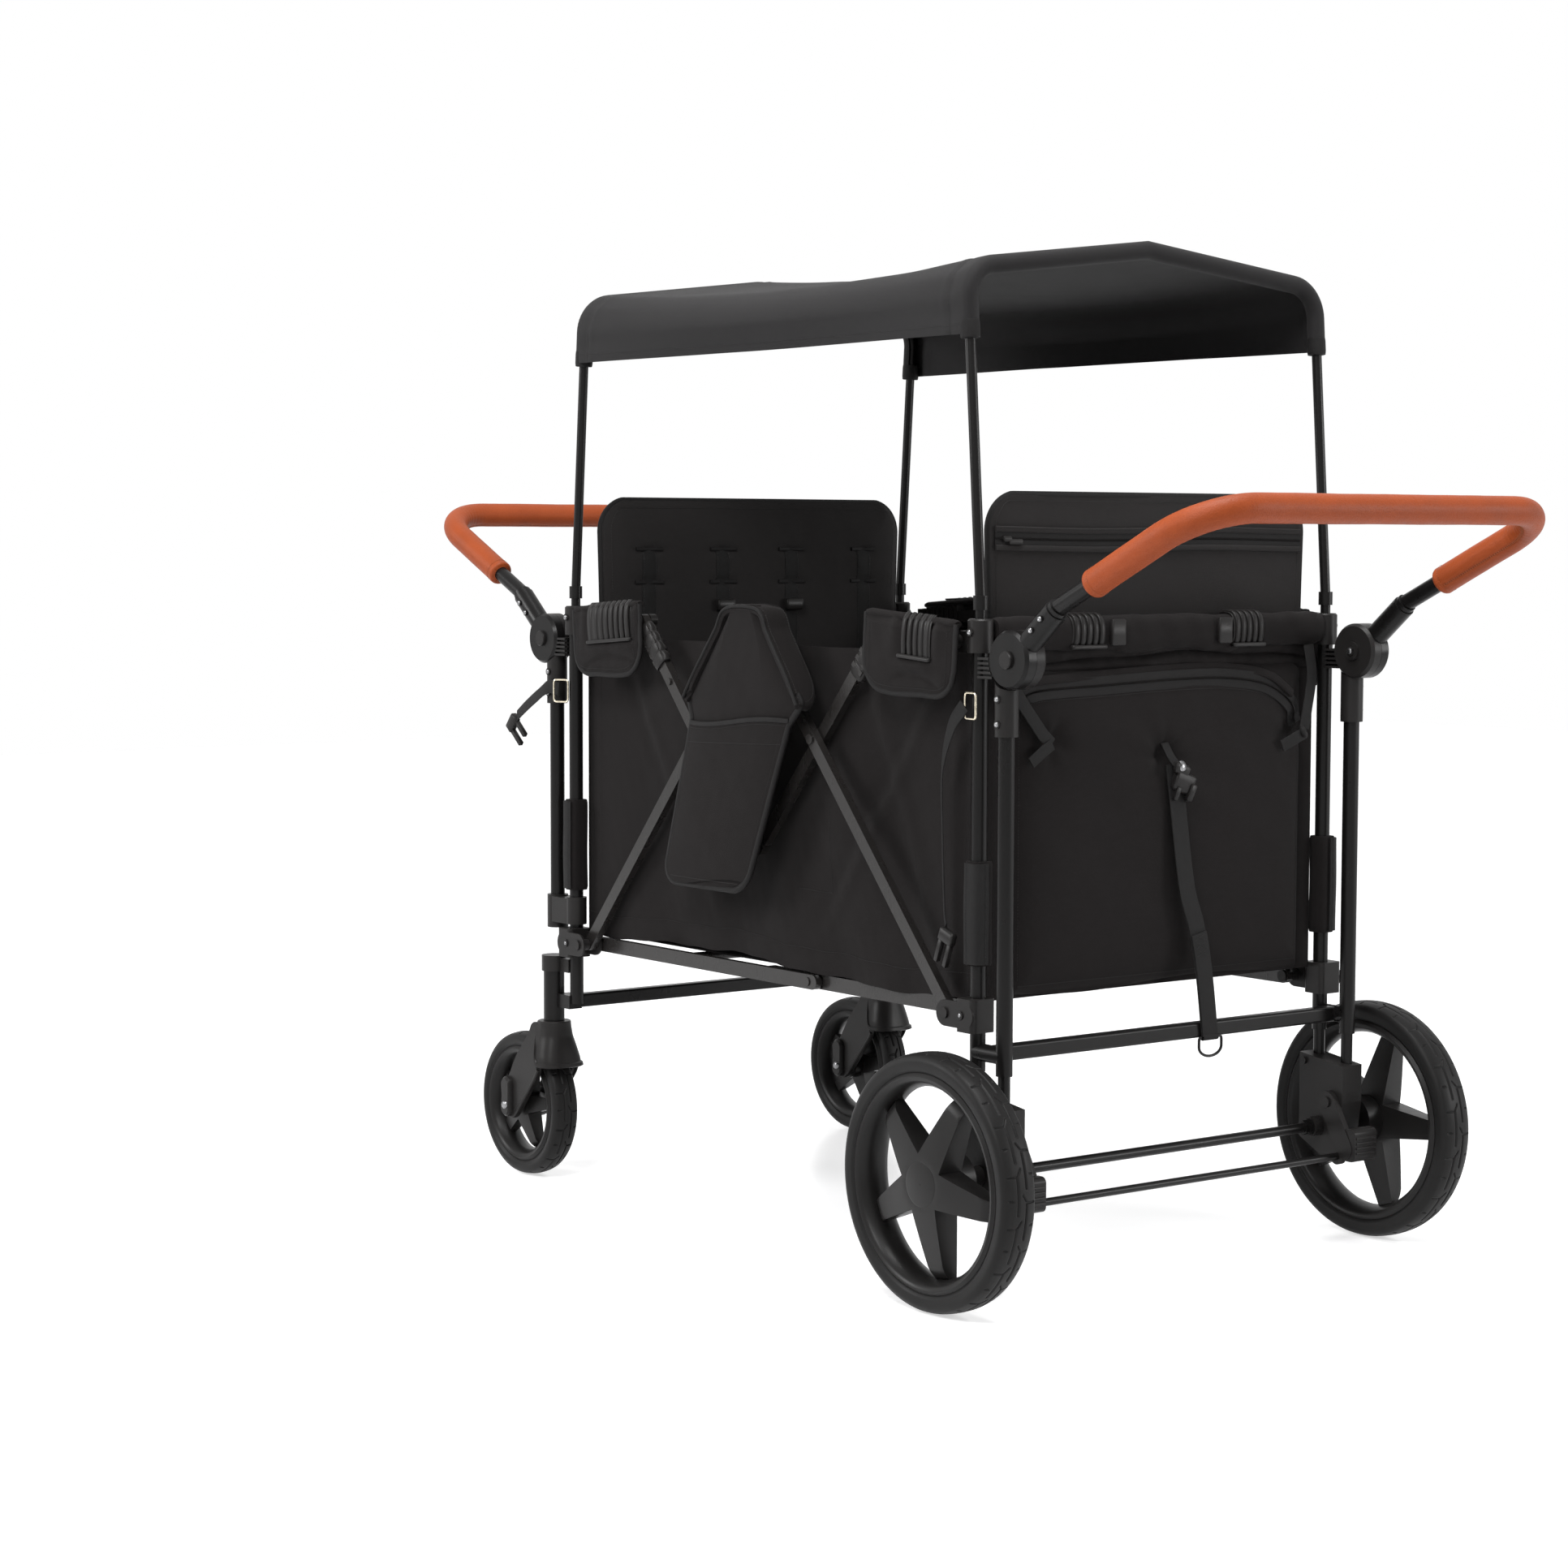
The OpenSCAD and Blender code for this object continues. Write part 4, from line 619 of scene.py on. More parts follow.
lift = -0.0011 * bump_at(from_bow, 0.021, 0.004) + 0.0006 * bump_at(from_bow, 0.030, 0.004)
lift = lift + 0.0011 * ripple(middle[..., 1], run[None], 3, 0.34) * np.clip(from_bow / 0.12, 0, 1) + 0.0009 * gathers
middle += outward(middle, 30, 40, 2) * lift[..., None]
cover = np.concatenate([np.stack([on_bow(-1, a, REACH) for a in wraps]), middle,
                        np.stack([on_bow(1, a, REACH) for a in wraps[::-1]])])
canopy = build("canopy_cloth", [slab(cover, 0.0013)], CANOPY, sharp=60)
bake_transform(canopy)
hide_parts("canopy")

# %% Canopy seams and cuffs
free = slice(WRAP_ROWS - 1, 1 - WRAP_ROWS)
hems = (cover + 0.0008 * outward(cover, 45, 40, 2))[free]
hem_rows = build("canopy_hem_seams", [stitches(hems[:, k], (1, 0, 0)) for k in (3, -4)], THREAD)
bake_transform(hem_rows)
off_seam = np.abs(from_bow.mean(axis=1) - SEAM_FROM_BOW)
for end, body in ((-1, "bow_rear"), (1, "bow_front")):
    pick = np.argmin(off_seam[:30]) if end < 0 else len(off_seam) - 1 - np.argmin(off_seam[::-1][:30])
    line = (middle + 0.0009 * outward(middle, 30, 40, 2))[pick]
    build(f"canopy_seam_{body}", [stitches(line, (0, end, 0))], THREAD, body)
    core, cuffs = on_bow(end, 0, 0.0), []
    for foot, above in ((core[0], core[1]), (core[-1], core[-2])):
        cuff = foot + unit(above - foot) * np.array([-0.0045, -0.004, 0.0, 0.012, 0.016, 0.0165])[:, None]
        cuffs.append(rod(cuff, [0.0090, 0.0108, 0.0114, 0.0114, 0.0110, 0.0100], (1, 0, 0), 20))
    build(f"canopy_cuffs_{body}", cuffs, BINDING, body)

# %% [markdown]
# ## Side walls
# Each side is one loose cloth between the posts. Broad folds run down it, finer ones cross them, and the lower edge
# hangs in waves above the rails. A simulation could hang it, but sums of waves are quick and fade to nothing at the
# posts, where the cloth is held. It is gathered when the front frame slides to the rear one.

# %% Side walls
WALL_X, WALL_HALF, WALL_LOW, WALL_TOP = 0.257, 0.4036, 0.339, 0.732
WALL_THICK, HEM_EXTRA, HEM_ROWS = 0.0024, 0.0008, 4


def side_wall(side):
    """Rows run up the wall, columns along it; folds fade at both posts."""
    y, z = np.meshgrid(np.linspace(-WALL_HALF, WALL_HALF, 150), np.linspace(0, 1, 56))
    fade = 1 - np.abs(y / WALL_HALF) ** 6
    low = WALL_LOW + fade * (0.0016 * np.sin(y * 31) + 0.0009 * np.sin(y * 83 + 1.2) + 0.006 * np.sin(y * 9 + 0.6))
    z = low + (WALL_TOP - low) * z
    fold = 0.003 * np.sin(np.radians(900 * y + 350 * z)) + 0.0022 * np.sin(np.radians(2100 * y - 600 * z + 40))
    fold = fold + 0.0016 * ripple(y, z, 11 if side < 0 else 12, 0.16) + 0.0007 * ripple(y, z, 21, 0.05)
    hang = np.clip((0.40 - z) / 0.06, 0, 1) * 0.0014 * np.sin(y * 52 + 0.7)
    above_hem = np.clip((z - 0.37) / 0.1, 0, 1)
    for top, foot, size in ((-0.330, -0.10, 0.0030), (0.300, 0.10, 0.0026), (-0.200, -0.33, 0.0022)):
        line = top + (foot - top) * (0.70 - z) / 0.33
        fold = fold + size * (bump_at(y, line, 0.013) - 0.7 * bump_at(y, line + 0.022, 0.016)) * above_hem
    drawn = -0.002 * bump_at(y, -0.372, 0.010) + 0.0015 * bump_at(y, -0.355, 0.008)
    return np.stack([side * (WALL_X + fade * (fold + hang) + drawn), y, z], axis=2)


for side, name in SIDES:
    P = side_wall(side)
    hem = HEM_EXTRA * (np.arange(len(P)) < HEM_ROWS)[:, None]
    wall = build(f"side_cloth_{name}", [slab(P, WALL_THICK + hem)], CLOTH)
    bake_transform(wall)
    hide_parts(f"side_{name}")
    skin_out = P + 0.0016 * side * outward(P, 20, 70, 0)
    lines = skin_out[HEM_ROWS], skin_out[:, 5], skin_out[:, -6], skin_out[14:30, 52], skin_out[14, 52:64]
    seams = build(f"side_seams_{name}", [stitches(line, (1, 0, 0)) for line in lines], THREAD)
    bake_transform(seams)
print("two side walls with their seams")

# %% [markdown]
# ## End walls, rolls and post sleeves
# The end walls are flat cloth. Their upper edge is folded over the rim tube as a soft roll, and below it the cloth
# bunches in two puffs. A bevelled curve could make the roll, but its section changes from place to place. Ribbed
# rubber grips lie over it, so the same formula that shapes the roll carries their ribs. Lower down, hook-and-loop
# sleeves close round the posts.

# %% Rolls and their grips
ROLL_Y, ROLL_Z, ROLL_HALF, ROLL_OUT, ROLL_UP = 0.4148, 0.7545, 0.2585, 0.0162, 0.0198
CLIP_AT, GRIP_AT = 0.085, 0.127


def roll_skin(at, turn, lift=0.0):
    """The roll round the rim tube as y and z: a rounded square, drawn in at its ends, clips and grips, and sagging."""
    tuck = 1 - 0.16 * np.exp(-((ROLL_HALF - np.abs(at)) / 0.009) ** 2) - 0.07 * bump_at(np.abs(at), CLIP_AT, 0.013)
    tuck = tuck - 0.05 * bump_at(np.abs(at), GRIP_AT, 0.022)
    soft = 1 + 0.07 * ripple(at + 0.01 * np.cos(turn), 0.02 * np.sin(turn), 41, 0.09)
    soft = soft + 0.02 * np.sin(at * 150 + 2 * np.sin(turn))
    sag = 0.008 * bump_at(np.sin(turn), -1, 0.5) * (bump_at(at, 0.095, 0.03) + 0.6 * bump_at(at, -0.05, 0.05))
    swell = tuck * soft * rounded_square(turn)
    return ROLL_Y + (ROLL_OUT * swell + lift) * np.cos(turn), ROLL_Z + (ROLL_UP * swell + lift) * np.sin(turn) - sag


def rim_ribs(end, center):
    """One rubber grip: a thin plate and five ribs that follow the roll from its top to a ledge below."""
    turn = np.radians(np.linspace(115, -40, 26))
    out = np.stack([0 * turn, end * np.cos(turn), np.sin(turn)], 1)
    made = []
    plate_and_ribs = [(center, 0.050, 0.0016, 0.0010)]
    plate_and_ribs += [(center + 0.0096 * k, 0.0066, 0.0034, 0.0026) for k in range(-2, 3)]
    for at, wide, thick, lift in plate_and_ribs:
        y, z = roll_skin(np.full(26, center), turn, lift)
        made.append(sweep(np.stack([np.full(26, at), end * y, z], 1), band(wide, thick), out))
    made.append(block((center, end * (y[-1] + 0.0015), z[-1] - 0.001), (0.053, 0.0085, 0.0048), 0.0012))
    return made


print("rolls", 2 * ROLL_HALF, "m long")

# %% End walls
END_Y, END_HALF, END_LOW, END_TOP, PUFF_HALF = 0.408, 0.2575, 0.339, 0.737, 0.252


def puffs(end):
    """Cloth bunched under the roll: two lobes, one above and one below a wandering crease, with wrinkles."""
    x, v = np.meshgrid(np.linspace(-PUFF_HALF, PUFF_HALF, 150), np.linspace(0, 1, 44))
    crease = 0.50 + 0.13 * np.sin(x * 13 + 1) + 0.05 * np.sin(x * 41)
    lobe = np.where(v < crease, np.sin(np.pi * v / crease), np.sin(np.pi * (v - crease) / (1 - crease)))
    puff = 0.0092 * np.abs(lobe) ** 0.55 * (1 - np.abs(x / PUFF_HALF) ** 8) * (1 + 0.28 * ripple(x, v * 0.03, 47, 0.13))
    puff = puff + 0.0012 * ripple(x, v * 0.03, 48, 0.035) * np.sin(np.pi * v)
    face = np.stack([x, end * (0.4106 + puff), 0.7080 + 0.034 * v], 2)
    return solid(face, face * [1, 0, 1] + [0, end * 0.4094, 0])


def post_sleeve(side, end, low, high):
    """Grids of a sleeve round a post and of the tab that laps over it: rounded squares that wave a little."""
    up = np.linspace(low, high, 30)[:, None]
    around = np.linspace(0, 2 * np.pi, 40, endpoint=False)
    radius = 0.0133 * rounded_square(around)[None] + 0.0003 * np.sin(up * 60) * np.sin(2 * around)[None]
    radius[[0, -1]] -= 0.0010
    x, y = side * TRACK + radius * np.cos(around), end * BASE + radius * np.sin(around)
    sleeve = np.stack([x, y, up + 0 * radius], 2)
    lap = np.linspace(low + 0.002, high - 0.002, 20)[:, None]
    turn = np.radians(np.linspace(-30, 95, 16))
    bulge = 0.0140 * rounded_square(turn)[None] + 0.0012 + 0.0003 * np.sin(lap * 60)
    tab = np.stack([side * (TRACK + bulge * np.cos(turn)), end * (BASE + bulge * np.sin(turn)), lap + 0 * bulge], 2)
    return sleeve, tab


def end_wall(end, sleeve_low, sleeve_high, body, node, grips):
    """The wall, the roll, the puffs and the sleeves of one end; end is -1 at the rear and 1 at the front."""
    x, z = np.meshgrid(np.linspace(-END_HALF, END_HALF, 90), np.linspace(END_LOW, END_TOP, 60))
    y = END_Y + 0.0022 * (1 - np.abs(x / END_HALF) ** 6) * ripple(x, z, 31 + end, 0.2)
    wall = build(f"{node}_cloth", [slab(np.stack([x, end * y, z], 2), WALL_THICK)], CLOTH, body)
    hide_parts(node)
    at, turn = np.meshgrid(np.linspace(-ROLL_HALF, ROLL_HALF, 180), np.linspace(0, 2 * np.pi, 48, endpoint=False),
                           indexing="ij")
    y, z = roll_skin(at, turn)
    roll = build(f"{node}_roll", [grid(np.stack([at, end * y, z], 2), True, True)], CLOTH, body, 70)
    ribs = build(f"{node}_rim_ribs", rim_ribs(end, -GRIP_AT) + rim_ribs(end, GRIP_AT), PLASTIC, body)
    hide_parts(grips)
    bunch = build(f"{node}_puffs", [puffs(end)], CLOTH, body, 70)
    sleeves, tabs, rows = [], [], []
    for side in (-1, 1):
        sleeve, tab = post_sleeve(side, end, sleeve_low, sleeve_high)
        sleeves.append(grid(sleeve, True, True))
        tabs.append(slab(tab, 0.0016))
        rows.append(stitches(tab[:, 2] + [side * 0.0012, 0, 0], (side, 0, 0)))
        rows.append(stitches(tab[:, -3] + [0, end * 0.0012, 0], (0, end, 0)))
    build(f"{node}_sleeves", sleeves, CLOTH, body)
    build(f"{node}_sleeve_tabs", tabs, WEB, body)
    seam = np.stack([np.linspace(-0.255, 0.255, 60), np.full(60, end * 0.4102), np.full(60, 0.7335)], 1)
    build(f"{node}_seams", rows + [stitches(seam, (0, end, 0))], THREAD, body)


end_wall(-1, 0.382, 0.500, "rear_frame", "rear_panel", "rear_rim_grips")
end_wall(1, 0.396, 0.516, "front_frame", "front_panel", "front_rim_grips")
print("end walls, rolls and sleeves")

# %% [markdown]
# ## The rear bag
# The bag is a shell that leaves the rear wall at its edges and hangs fuller towards the bottom. The strap's buckle
# pulls a dimple into its middle, from which faint folds fan out, and two short straps tuck its upper corners in. It
# could be sculpted. A function gives the depth at every point instead, so the zip, the straps and the seams can be
# laid on the same surface.

# %% The rear bag
BAG_Y, BAG_HALF, BAG_LOW, BAG_TOP, BAG_ROUND = -0.4124, 0.232, 0.343, 0.716, 0.030
DIMPLE, TUCKS = (-0.002, 0.611), ((-0.178, 0.632), (0.205, 0.634))


def bag_depth(x, z):
    """How far the bag stands out from the wall: a rounded step at the edge, a belly, a dimple with folds."""
    inside = np.minimum(np.minimum(BAG_HALF - np.abs(x), z - BAG_LOW), BAG_TOP - z).clip(0)
    belly = np.sin(np.pi * np.clip((0.72 - z) / 0.38, 0, 1)) * (1 - (x / BAG_HALF) ** 4)
    depth = 0.0125 * (1 - np.exp(-inside / 0.011)) + 0.007 * belly
    dx, dz = x - DIMPLE[0], z - DIMPLE[1]
    r, angle = np.hypot(dx, dz * 1.2), np.arctan2(dz, dx)
    depth = depth - 0.0115 * np.exp(-(r / 0.017) ** 2) - 0.004 * np.exp(-r / 0.05)
    depth = depth + 0.0011 * np.sin(7 * angle + 0.8) * np.exp(-r / 0.075) * np.clip(r / 0.02, 0, 1)
    for tuck_x, tuck_z in TUCKS:
        r, angle = np.hypot(x - tuck_x, z - tuck_z), np.arctan2(z - tuck_z, x - tuck_x)
        depth = depth - 0.008 * np.exp(-(r / 0.020) ** 2)
        depth = depth + 0.0018 * np.sin(5 * angle) * np.exp(-r / 0.045) * np.clip(r / 0.02, 0, 1)
    return (depth + 0.0012 * ripple(x, z, 61, 0.17) * np.clip(inside / 0.03, 0, 1)).clip(0.0003)


a, b = np.meshgrid(np.linspace(-1, 1, 150), np.linspace(0, 1, 120))
z = BAG_LOW + (BAG_TOP - BAG_LOW) * b + 0.004 * np.sin(a * 4 + 0.4) * (1 - b) ** 6
corner = np.clip(np.maximum(z - BAG_TOP + BAG_ROUND, BAG_LOW + BAG_ROUND * 0.4 - z), 0, BAG_ROUND)
x = a * (BAG_HALF - BAG_ROUND + np.sqrt(BAG_ROUND ** 2 - corner ** 2))
face = np.stack([x, BAG_Y - bag_depth(x, z), z], 2)
bag = build("rear_bag_shell", [solid(face, np.stack([x, np.full_like(x, -0.4104), z], 2))], CLOTH, "rear_frame", 60)
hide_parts("rear_bag")
print("bag stands out", round(float(BAG_Y - face[..., 1].min()), 4), "m")


# %% Zip and seams of the bag
def on_bag(points, lift=0.0, count=80):
    """A smooth line over the bag through points given as x and z."""
    line = curve([(px, 0, pz) for px, pz in points], count)
    line[:, 1] = BAG_Y - bag_depth(line[:, 0], line[:, 2]) - lift
    return line


def beside_zip(points, drop, lift, count=80):
    """A line over the bag that runs along the zip, at a height above or below it."""
    return on_bag([(px, pz + drop) for px, pz in points], lift, count)


zip_line = [(-0.222, 0.668), (-0.205, 0.688), (-0.10, 0.6935), (0.02, 0.698),
            (0.10, 0.6975), (0.165, 0.688), (0.205, 0.664), (0.218, 0.640)]
build("bag_zip_tape", [sweep(on_bag(zip_line, 0.0014), band(0.022, 0.0012), REARWARD)], BINDING, "rear_frame")
build("bag_zip_coil", [stitches(on_bag(zip_line, 0.0027, 300), REARWARD, 0.0020, 0.0017)], PLASTIC, "rear_frame")
welt = beside_zip(zip_line[1:-1], 0.0125, 0.0028)
build("bag_zip_welt", [sweep(welt, band(0.011, 0.0042), (0, -1, 0.35))], CLOTH, "rear_frame")
lines = [beside_zip(zip_line, -0.0125, 0.0008, 300), beside_zip(zip_line[1:-1], 0.020, 0.0009, 300),
         on_bag([(-0.222, 0.66), (-0.2225, 0.50), (-0.222, 0.36)], 0.0008, 120),
         on_bag([(0.222, 0.62), (0.2225, 0.50), (0.222, 0.36)], 0.0008, 120),
         on_bag([(-0.222, 0.354), (0.0, 0.354), (0.222, 0.354)], 0.0008, 200)]
build("bag_seams", [stitches(line, REARWARD) for line in lines], THREAD, "rear_frame")
print("zip and", len(lines), "seams on the bag")

# %% Straps and buckle of the bag
tucks = [(np.array([[-0.243, -0.424, 0.705], [-0.222, -0.431, 0.672], [-0.196, -0.4325, 0.640],
                    [-0.181, -0.430, 0.629]]), 0.016),
         (np.array([[-0.181, -0.4315, 0.629], [-0.196, -0.434, 0.622], [-0.214, -0.433, 0.609]]), 0.014),
         (curve([[0.226, -0.433, 0.735], [0.229, -0.4365, 0.70], [0.223, -0.436, 0.66], [0.219, -0.4345, 0.634]], 20),
          0.016),
         (curve([[0.222, -0.4355, 0.630], [0.205, -0.4365, 0.624], [0.183, -0.4335, 0.614]], 14), 0.015)]
knot = loop((0.218, -0.4345, 0.631), (0.0048, 0.0039, 0), (-0.0013, 0.0016, 0.0046), 0.0034)
tucks = [sweep(path, band(wide, 0.0015), REARWARD) for path, wide in tucks]
build("bag_corner_straps", tucks + [knot], WEB, "rear_frame")
tilt = np.array([[0.94, 0.0, -0.34], [0.05, 0.99, 0.14], [0.34, -0.15, 0.93]])
buckle = [block(at, size, bevel, tilt)
          for at, size, bevel in (((0.014, -0.4405, 0.578), (0.030, 0.010, 0.024), 0.0025),
                                  ((0.008, -0.4445, 0.594), (0.022, 0.007, 0.014), 0.003),
                                  ((0.024, -0.4415, 0.566), (0.008, 0.011, 0.022), 0.002),
                                  ((0.003, -0.4400, 0.566), (0.006, 0.010, 0.018), 0.002))]
build("bag_buckle", buckle, PLASTIC, "rear_frame")
knob = np.array([0.0075, -0.4465, 0.598]) + np.outer([-0.003, -0.0005, 0.0012, 0.0020], [0.05, -0.97, 0.25])
build("bag_buckle_rivet", [rod(knob, [0.0068, 0.0068, 0.0052, 0.0015], (1, 0, 0), 20)], STEEL, "rear_frame")
tail = curve([[0.000, -0.423, 0.624], [0.002, -0.431, 0.610], [0.005, -0.4385, 0.599]], 12)
build("bag_buckle_tail", [sweep(tail, band(0.012, 0.0018), (0, -1, 0.3))], WEB, "rear_frame")
print("corner straps and buckle on the bag")

# %% [markdown]
# ## Seats and seat backs
# The pads are foam in a cloth cover: crowned, drawn in towards a piped edge, with shallow channels where the cover is
# sewn through. Cloth under pressure could swell them. The crown is written as a formula in the pad's two coordinates
# instead, because the same formula then seats the slots for a harness, the webbing below them and the stitches on it.

# %% The shape of a seat back
BACK_LOW, BACK_TALL, BACK_HALF, BACK_R, BACK_Y = 0.472, 0.440, 0.248, 0.042, 0.398
HARNESS, SLOT_HIGH, SLOT_LOW, ZIP_Z = (-0.180, -0.060, 0.055, 0.180), 0.845, 0.803, 0.861


def back_half(v):
    """Half the width at a share of the height: slightly waisted, with round upper corners."""
    d = v * BACK_TALL
    waist = BACK_HALF - 0.004 * np.sin(np.pi * d / (BACK_TALL - BACK_R)).clip(0)
    over = np.clip(d - BACK_TALL + BACK_R, 0, BACK_R)
    return np.where(over > 0, BACK_HALF - BACK_R + np.sqrt(BACK_R ** 2 - over ** 2), waist)


def back_crown(x, z, end):
    """Depth of the inner face from the outer one: full in the middle, thin at the edge, dented along the channels."""
    v = np.clip((z - BACK_LOW) / BACK_TALL, 0, 1)
    edge = np.minimum(back_half(v) - np.abs(x), BACK_LOW + BACK_TALL - z).clip(0)
    swell = 1 - np.exp(-edge / 0.020)
    lines = sum(bump_at(x, at, 0.006) for at in HARNESS) * (z < 0.848)
    slots = sum(bump_at(x, at, 0.022) for at in HARNESS) * (bump_at(z, SLOT_HIGH, 0.006) + bump_at(z, SLOT_LOW, 0.006))
    return 0.0075 + 0.0125 * swell * (1 - 0.16 * lines - 0.30 * slots) + 0.0010 * ripple(x, z, 73 + end, 0.11) * swell


def on_back(end, x, z, lift=0.0):
    """Points of the inner face from x and z: the outer face's place, less the crown and a lift."""
    x, z = np.broadcast_arrays(x, z)
    return np.stack([x, end * (BACK_Y - lift - back_crown(x, z, end)), z], -1)


print("seat backs", 2 * BACK_HALF, "by", BACK_TALL, "m")

# %% Seat backs
def harness(end, name, body):
    """The webbing down the back's inner face, its rows of stitches, its adjusters, and strips of dark binding tape at
    the slots that it comes from, darker than the pad to paint in the shade inside the slots.
    """
    tapes, slot_shade_strips, rows = [], [], []
    for at in HARNESS:
        line = on_back(end, at, np.linspace(0.846, 0.60, 40), 0.0015)
        tapes.append(sweep(line, band(0.0235, 0.0020), (0, -end, 0)))
        rows += [stitches(line + [side, -end * 0.0013, 0], (0, end, 0)) for side in (-0.0095, 0.0095)]
        # A slot is a strip of dark binding tape on the pad: the slot's bound edge, with painted shade standing in for
        # the opening behind it.
        for height, width in ((0.847, 0.042), (0.803, 0.044)):
            slot_shade_strip = on_back(end, np.linspace(at - width / 2, at + width / 2, 14), height, 0.0012)
            slot_shade_strips.append(sweep(slot_shade_strip, band(0.0052, 0.0024), (0, -end, 0)))
    build(f"{name}_webbing", tapes, WEB, body)
    # The slots' dark tape is painted shade as well as their binding.
    build(f"{name}_slots", slot_shade_strips, BINDING, body)
    build(f"{name}_web_seams", rows, THREAD, body)
    locks = [block((at, end * 0.3725, 0.772), (0.028, 0.008, 0.016), 0.002) for at in HARNESS[1:3]]
    build(f"{name}_adjusters", locks, PLASTIC, body)


def back_zip(end, name, body):
    """The zip across the back's outer face: a tape, a coil, two flaps beside it, their seams and the pull."""
    line = np.stack([np.linspace(-0.242, 0.242, 120), np.full(120, end * 0.4000), np.full(120, ZIP_Z)], 1)
    line[:, 2] += 0.0012 * np.sin(line[:, 0] * 17)
    build(f"{name}_zip_tape", [sweep(line, band(0.024, 0.0014), (0, end, 0))], BINDING, body)
    build(f"{name}_zip_coil", [stitches(line + [0, end * 0.0011, 0], (0, end, 0), 0.0020, 0.0016)], PLASTIC, body)
    flaps = [sweep(line + [0, end * 0.0009, up], band(0.007, 0.0026), (0, end, 0)) for up in (0.0105, -0.0105)]
    build(f"{name}_zip_flaps", flaps, MESHY, body)
    rows = [stitches(line + [0, end * 0.0024, up], (0, end, 0)) for up in (0.0125, -0.0125)]
    build(f"{name}_zip_seams", rows, THREAD, body)
    pull = [block((end * 0.226, end * 0.4026, ZIP_Z), (0.012, 0.005, 0.007), 0.0015),
            block((end * 0.214, end * 0.4036, 0.858), (0.020, 0.0028, 0.0065), 0.001)]
    build(f"{name}_zip_pull", pull, PLASTIC, body)


def seat_back(end, name, node, body):
    """One padded back with its piping and seams, harness and zip; end is -1 at the rear and 1 at the front."""
    a, v = np.meshgrid(np.linspace(-1, 1, 130), np.sin(np.linspace(0, 1, 110) * np.pi / 2) * 0.9985)
    x, z = a * back_half(v), BACK_LOW + v * BACK_TALL
    loose = 0.0009 * ripple(x, z, 71 + end, 0.2) * (1 - np.abs(a) ** 6)
    outer = np.stack([x, end * (BACK_Y + 0.0005 - loose), z], 2)
    pad = build(f"{name}_pad", [solid(outer, on_back(end, x, z))], MESHY, body, 75)
    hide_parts(node)
    v = np.concatenate([np.linspace(0, 0.90, 50), np.sin(np.linspace(np.arcsin(0.9), np.pi / 2, 40)) * 0.9985])
    half = np.stack([back_half(v), np.zeros_like(v), BACK_LOW + v * BACK_TALL], 1)
    rim = np.concatenate([half, half[::-1] * [-1, 1, 1]])
    edge = even(rim, 0.004)
    edge[:, 1] = end * 0.3945
    build(f"{name}_piping", [sweep(edge, circle(0.0042, 10), (0, 1, 0))], BINDING, body)

    def inset(by):
        """The rim drawn in by a distance, with its points at equal steps."""
        x = np.sign(rim[:, 0]) * np.maximum(np.abs(rim[:, 0]) - by, 0)
        return even(np.stack([x, rim[:, 1], np.minimum(rim[:, 2], BACK_LOW + BACK_TALL - by)], 1), 0.0036)

    outside, inside = inset(0.0075), inset(0.0105)
    outside[:, 1] = end * 0.3992
    inside = on_back(end, inside[:, 0], inside[:, 2], 0.0008)
    build(f"{name}_seam_out", [stitches(outside, (0, end, 0))], THREAD, body)
    build(f"{name}_seam_in", [stitches(inside, (0, end, 0))], THREAD, body)
    harness(end, name, body)
    back_zip(end, name, body)


seat_back(-1, "rear_back", "rear_seat_back", "rear_frame")
seat_back(1, "front_back", "front_seat_back", "front_frame")
print("two seat backs")

# %% Seats
SEAT_HALF, SEAT_BACK, SEAT_DEEP, SEAT_TOP, SEAT_LOW = 0.232, 0.3766, 0.205, 0.503, 0.4845


def seat_edge(v):
    """Half the width and the place along the wagon, at a share of the way from the back to the front edge."""
    return SEAT_HALF - 0.005 * np.sin(np.pi * v), SEAT_BACK - v * SEAT_DEEP


def seat_pad(end, name, node, body):
    """The seat: a crowned top with one cross seam, drawn-in sides and a piped front edge."""
    a, v = np.meshgrid(np.linspace(-1, 1, 90), np.linspace(0, 1, 60))
    half, y = seat_edge(v)
    x = a * half
    swell = (1 - np.abs(a) ** 4) * (1 - v ** 6) * (1 - 0.7 * (1 - v) ** 8)
    crown = 0.0085 * swell * (1 - 0.25 * bump_at(v, 0.5, 0.03) - 0.25 * bump_at(a, 0, 0.02))
    top = SEAT_TOP + crown + 0.0006 * ripple(x, y, 81, 0.1) * swell
    faces = [np.stack([x, end * y, z + 0 * x], 2) for z in (top, SEAT_LOW)]
    pad = build(f"{name}_pad", [solid(*faces)], MESHY, body, 75)
    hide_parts(node)
    side = np.stack(seat_edge(np.linspace(0, 1, 40)), 1)
    front = np.stack([np.linspace(SEAT_HALF, -SEAT_HALF, 60), np.full(60, SEAT_BACK - SEAT_DEEP)], 1)
    edge = np.concatenate([side, front[1:-1], side[::-1] * [-1, 1]])
    edge = np.c_[edge[:, 0] * 0.998, end * (edge[:, 1] + 0.0012), np.full(len(edge), 0.5012)]
    build(f"{name}_piping", [sweep(even(edge, 0.004), circle(0.0028, 10))], BINDING, body)


seat_pad(-1, "rear_seat", "rear_seat", "seat_rear")
seat_pad(1, "front_seat", "front_seat", "seat_front")
print("two seats")

# %% [markdown]
# ## Pouches
# A peaked cover hangs over each top joint of the side linkage. Its face is a crowned sheet between two outlines; a
# padded gusset runs over the peak, a pocket with a slanted hem lies on the lower part, and tape binds the edge. A flat
# outline could be extruded, but then the pocket and the tape would have no crown to follow. The left pouch is drawn,
# and the right one is its mirror image.

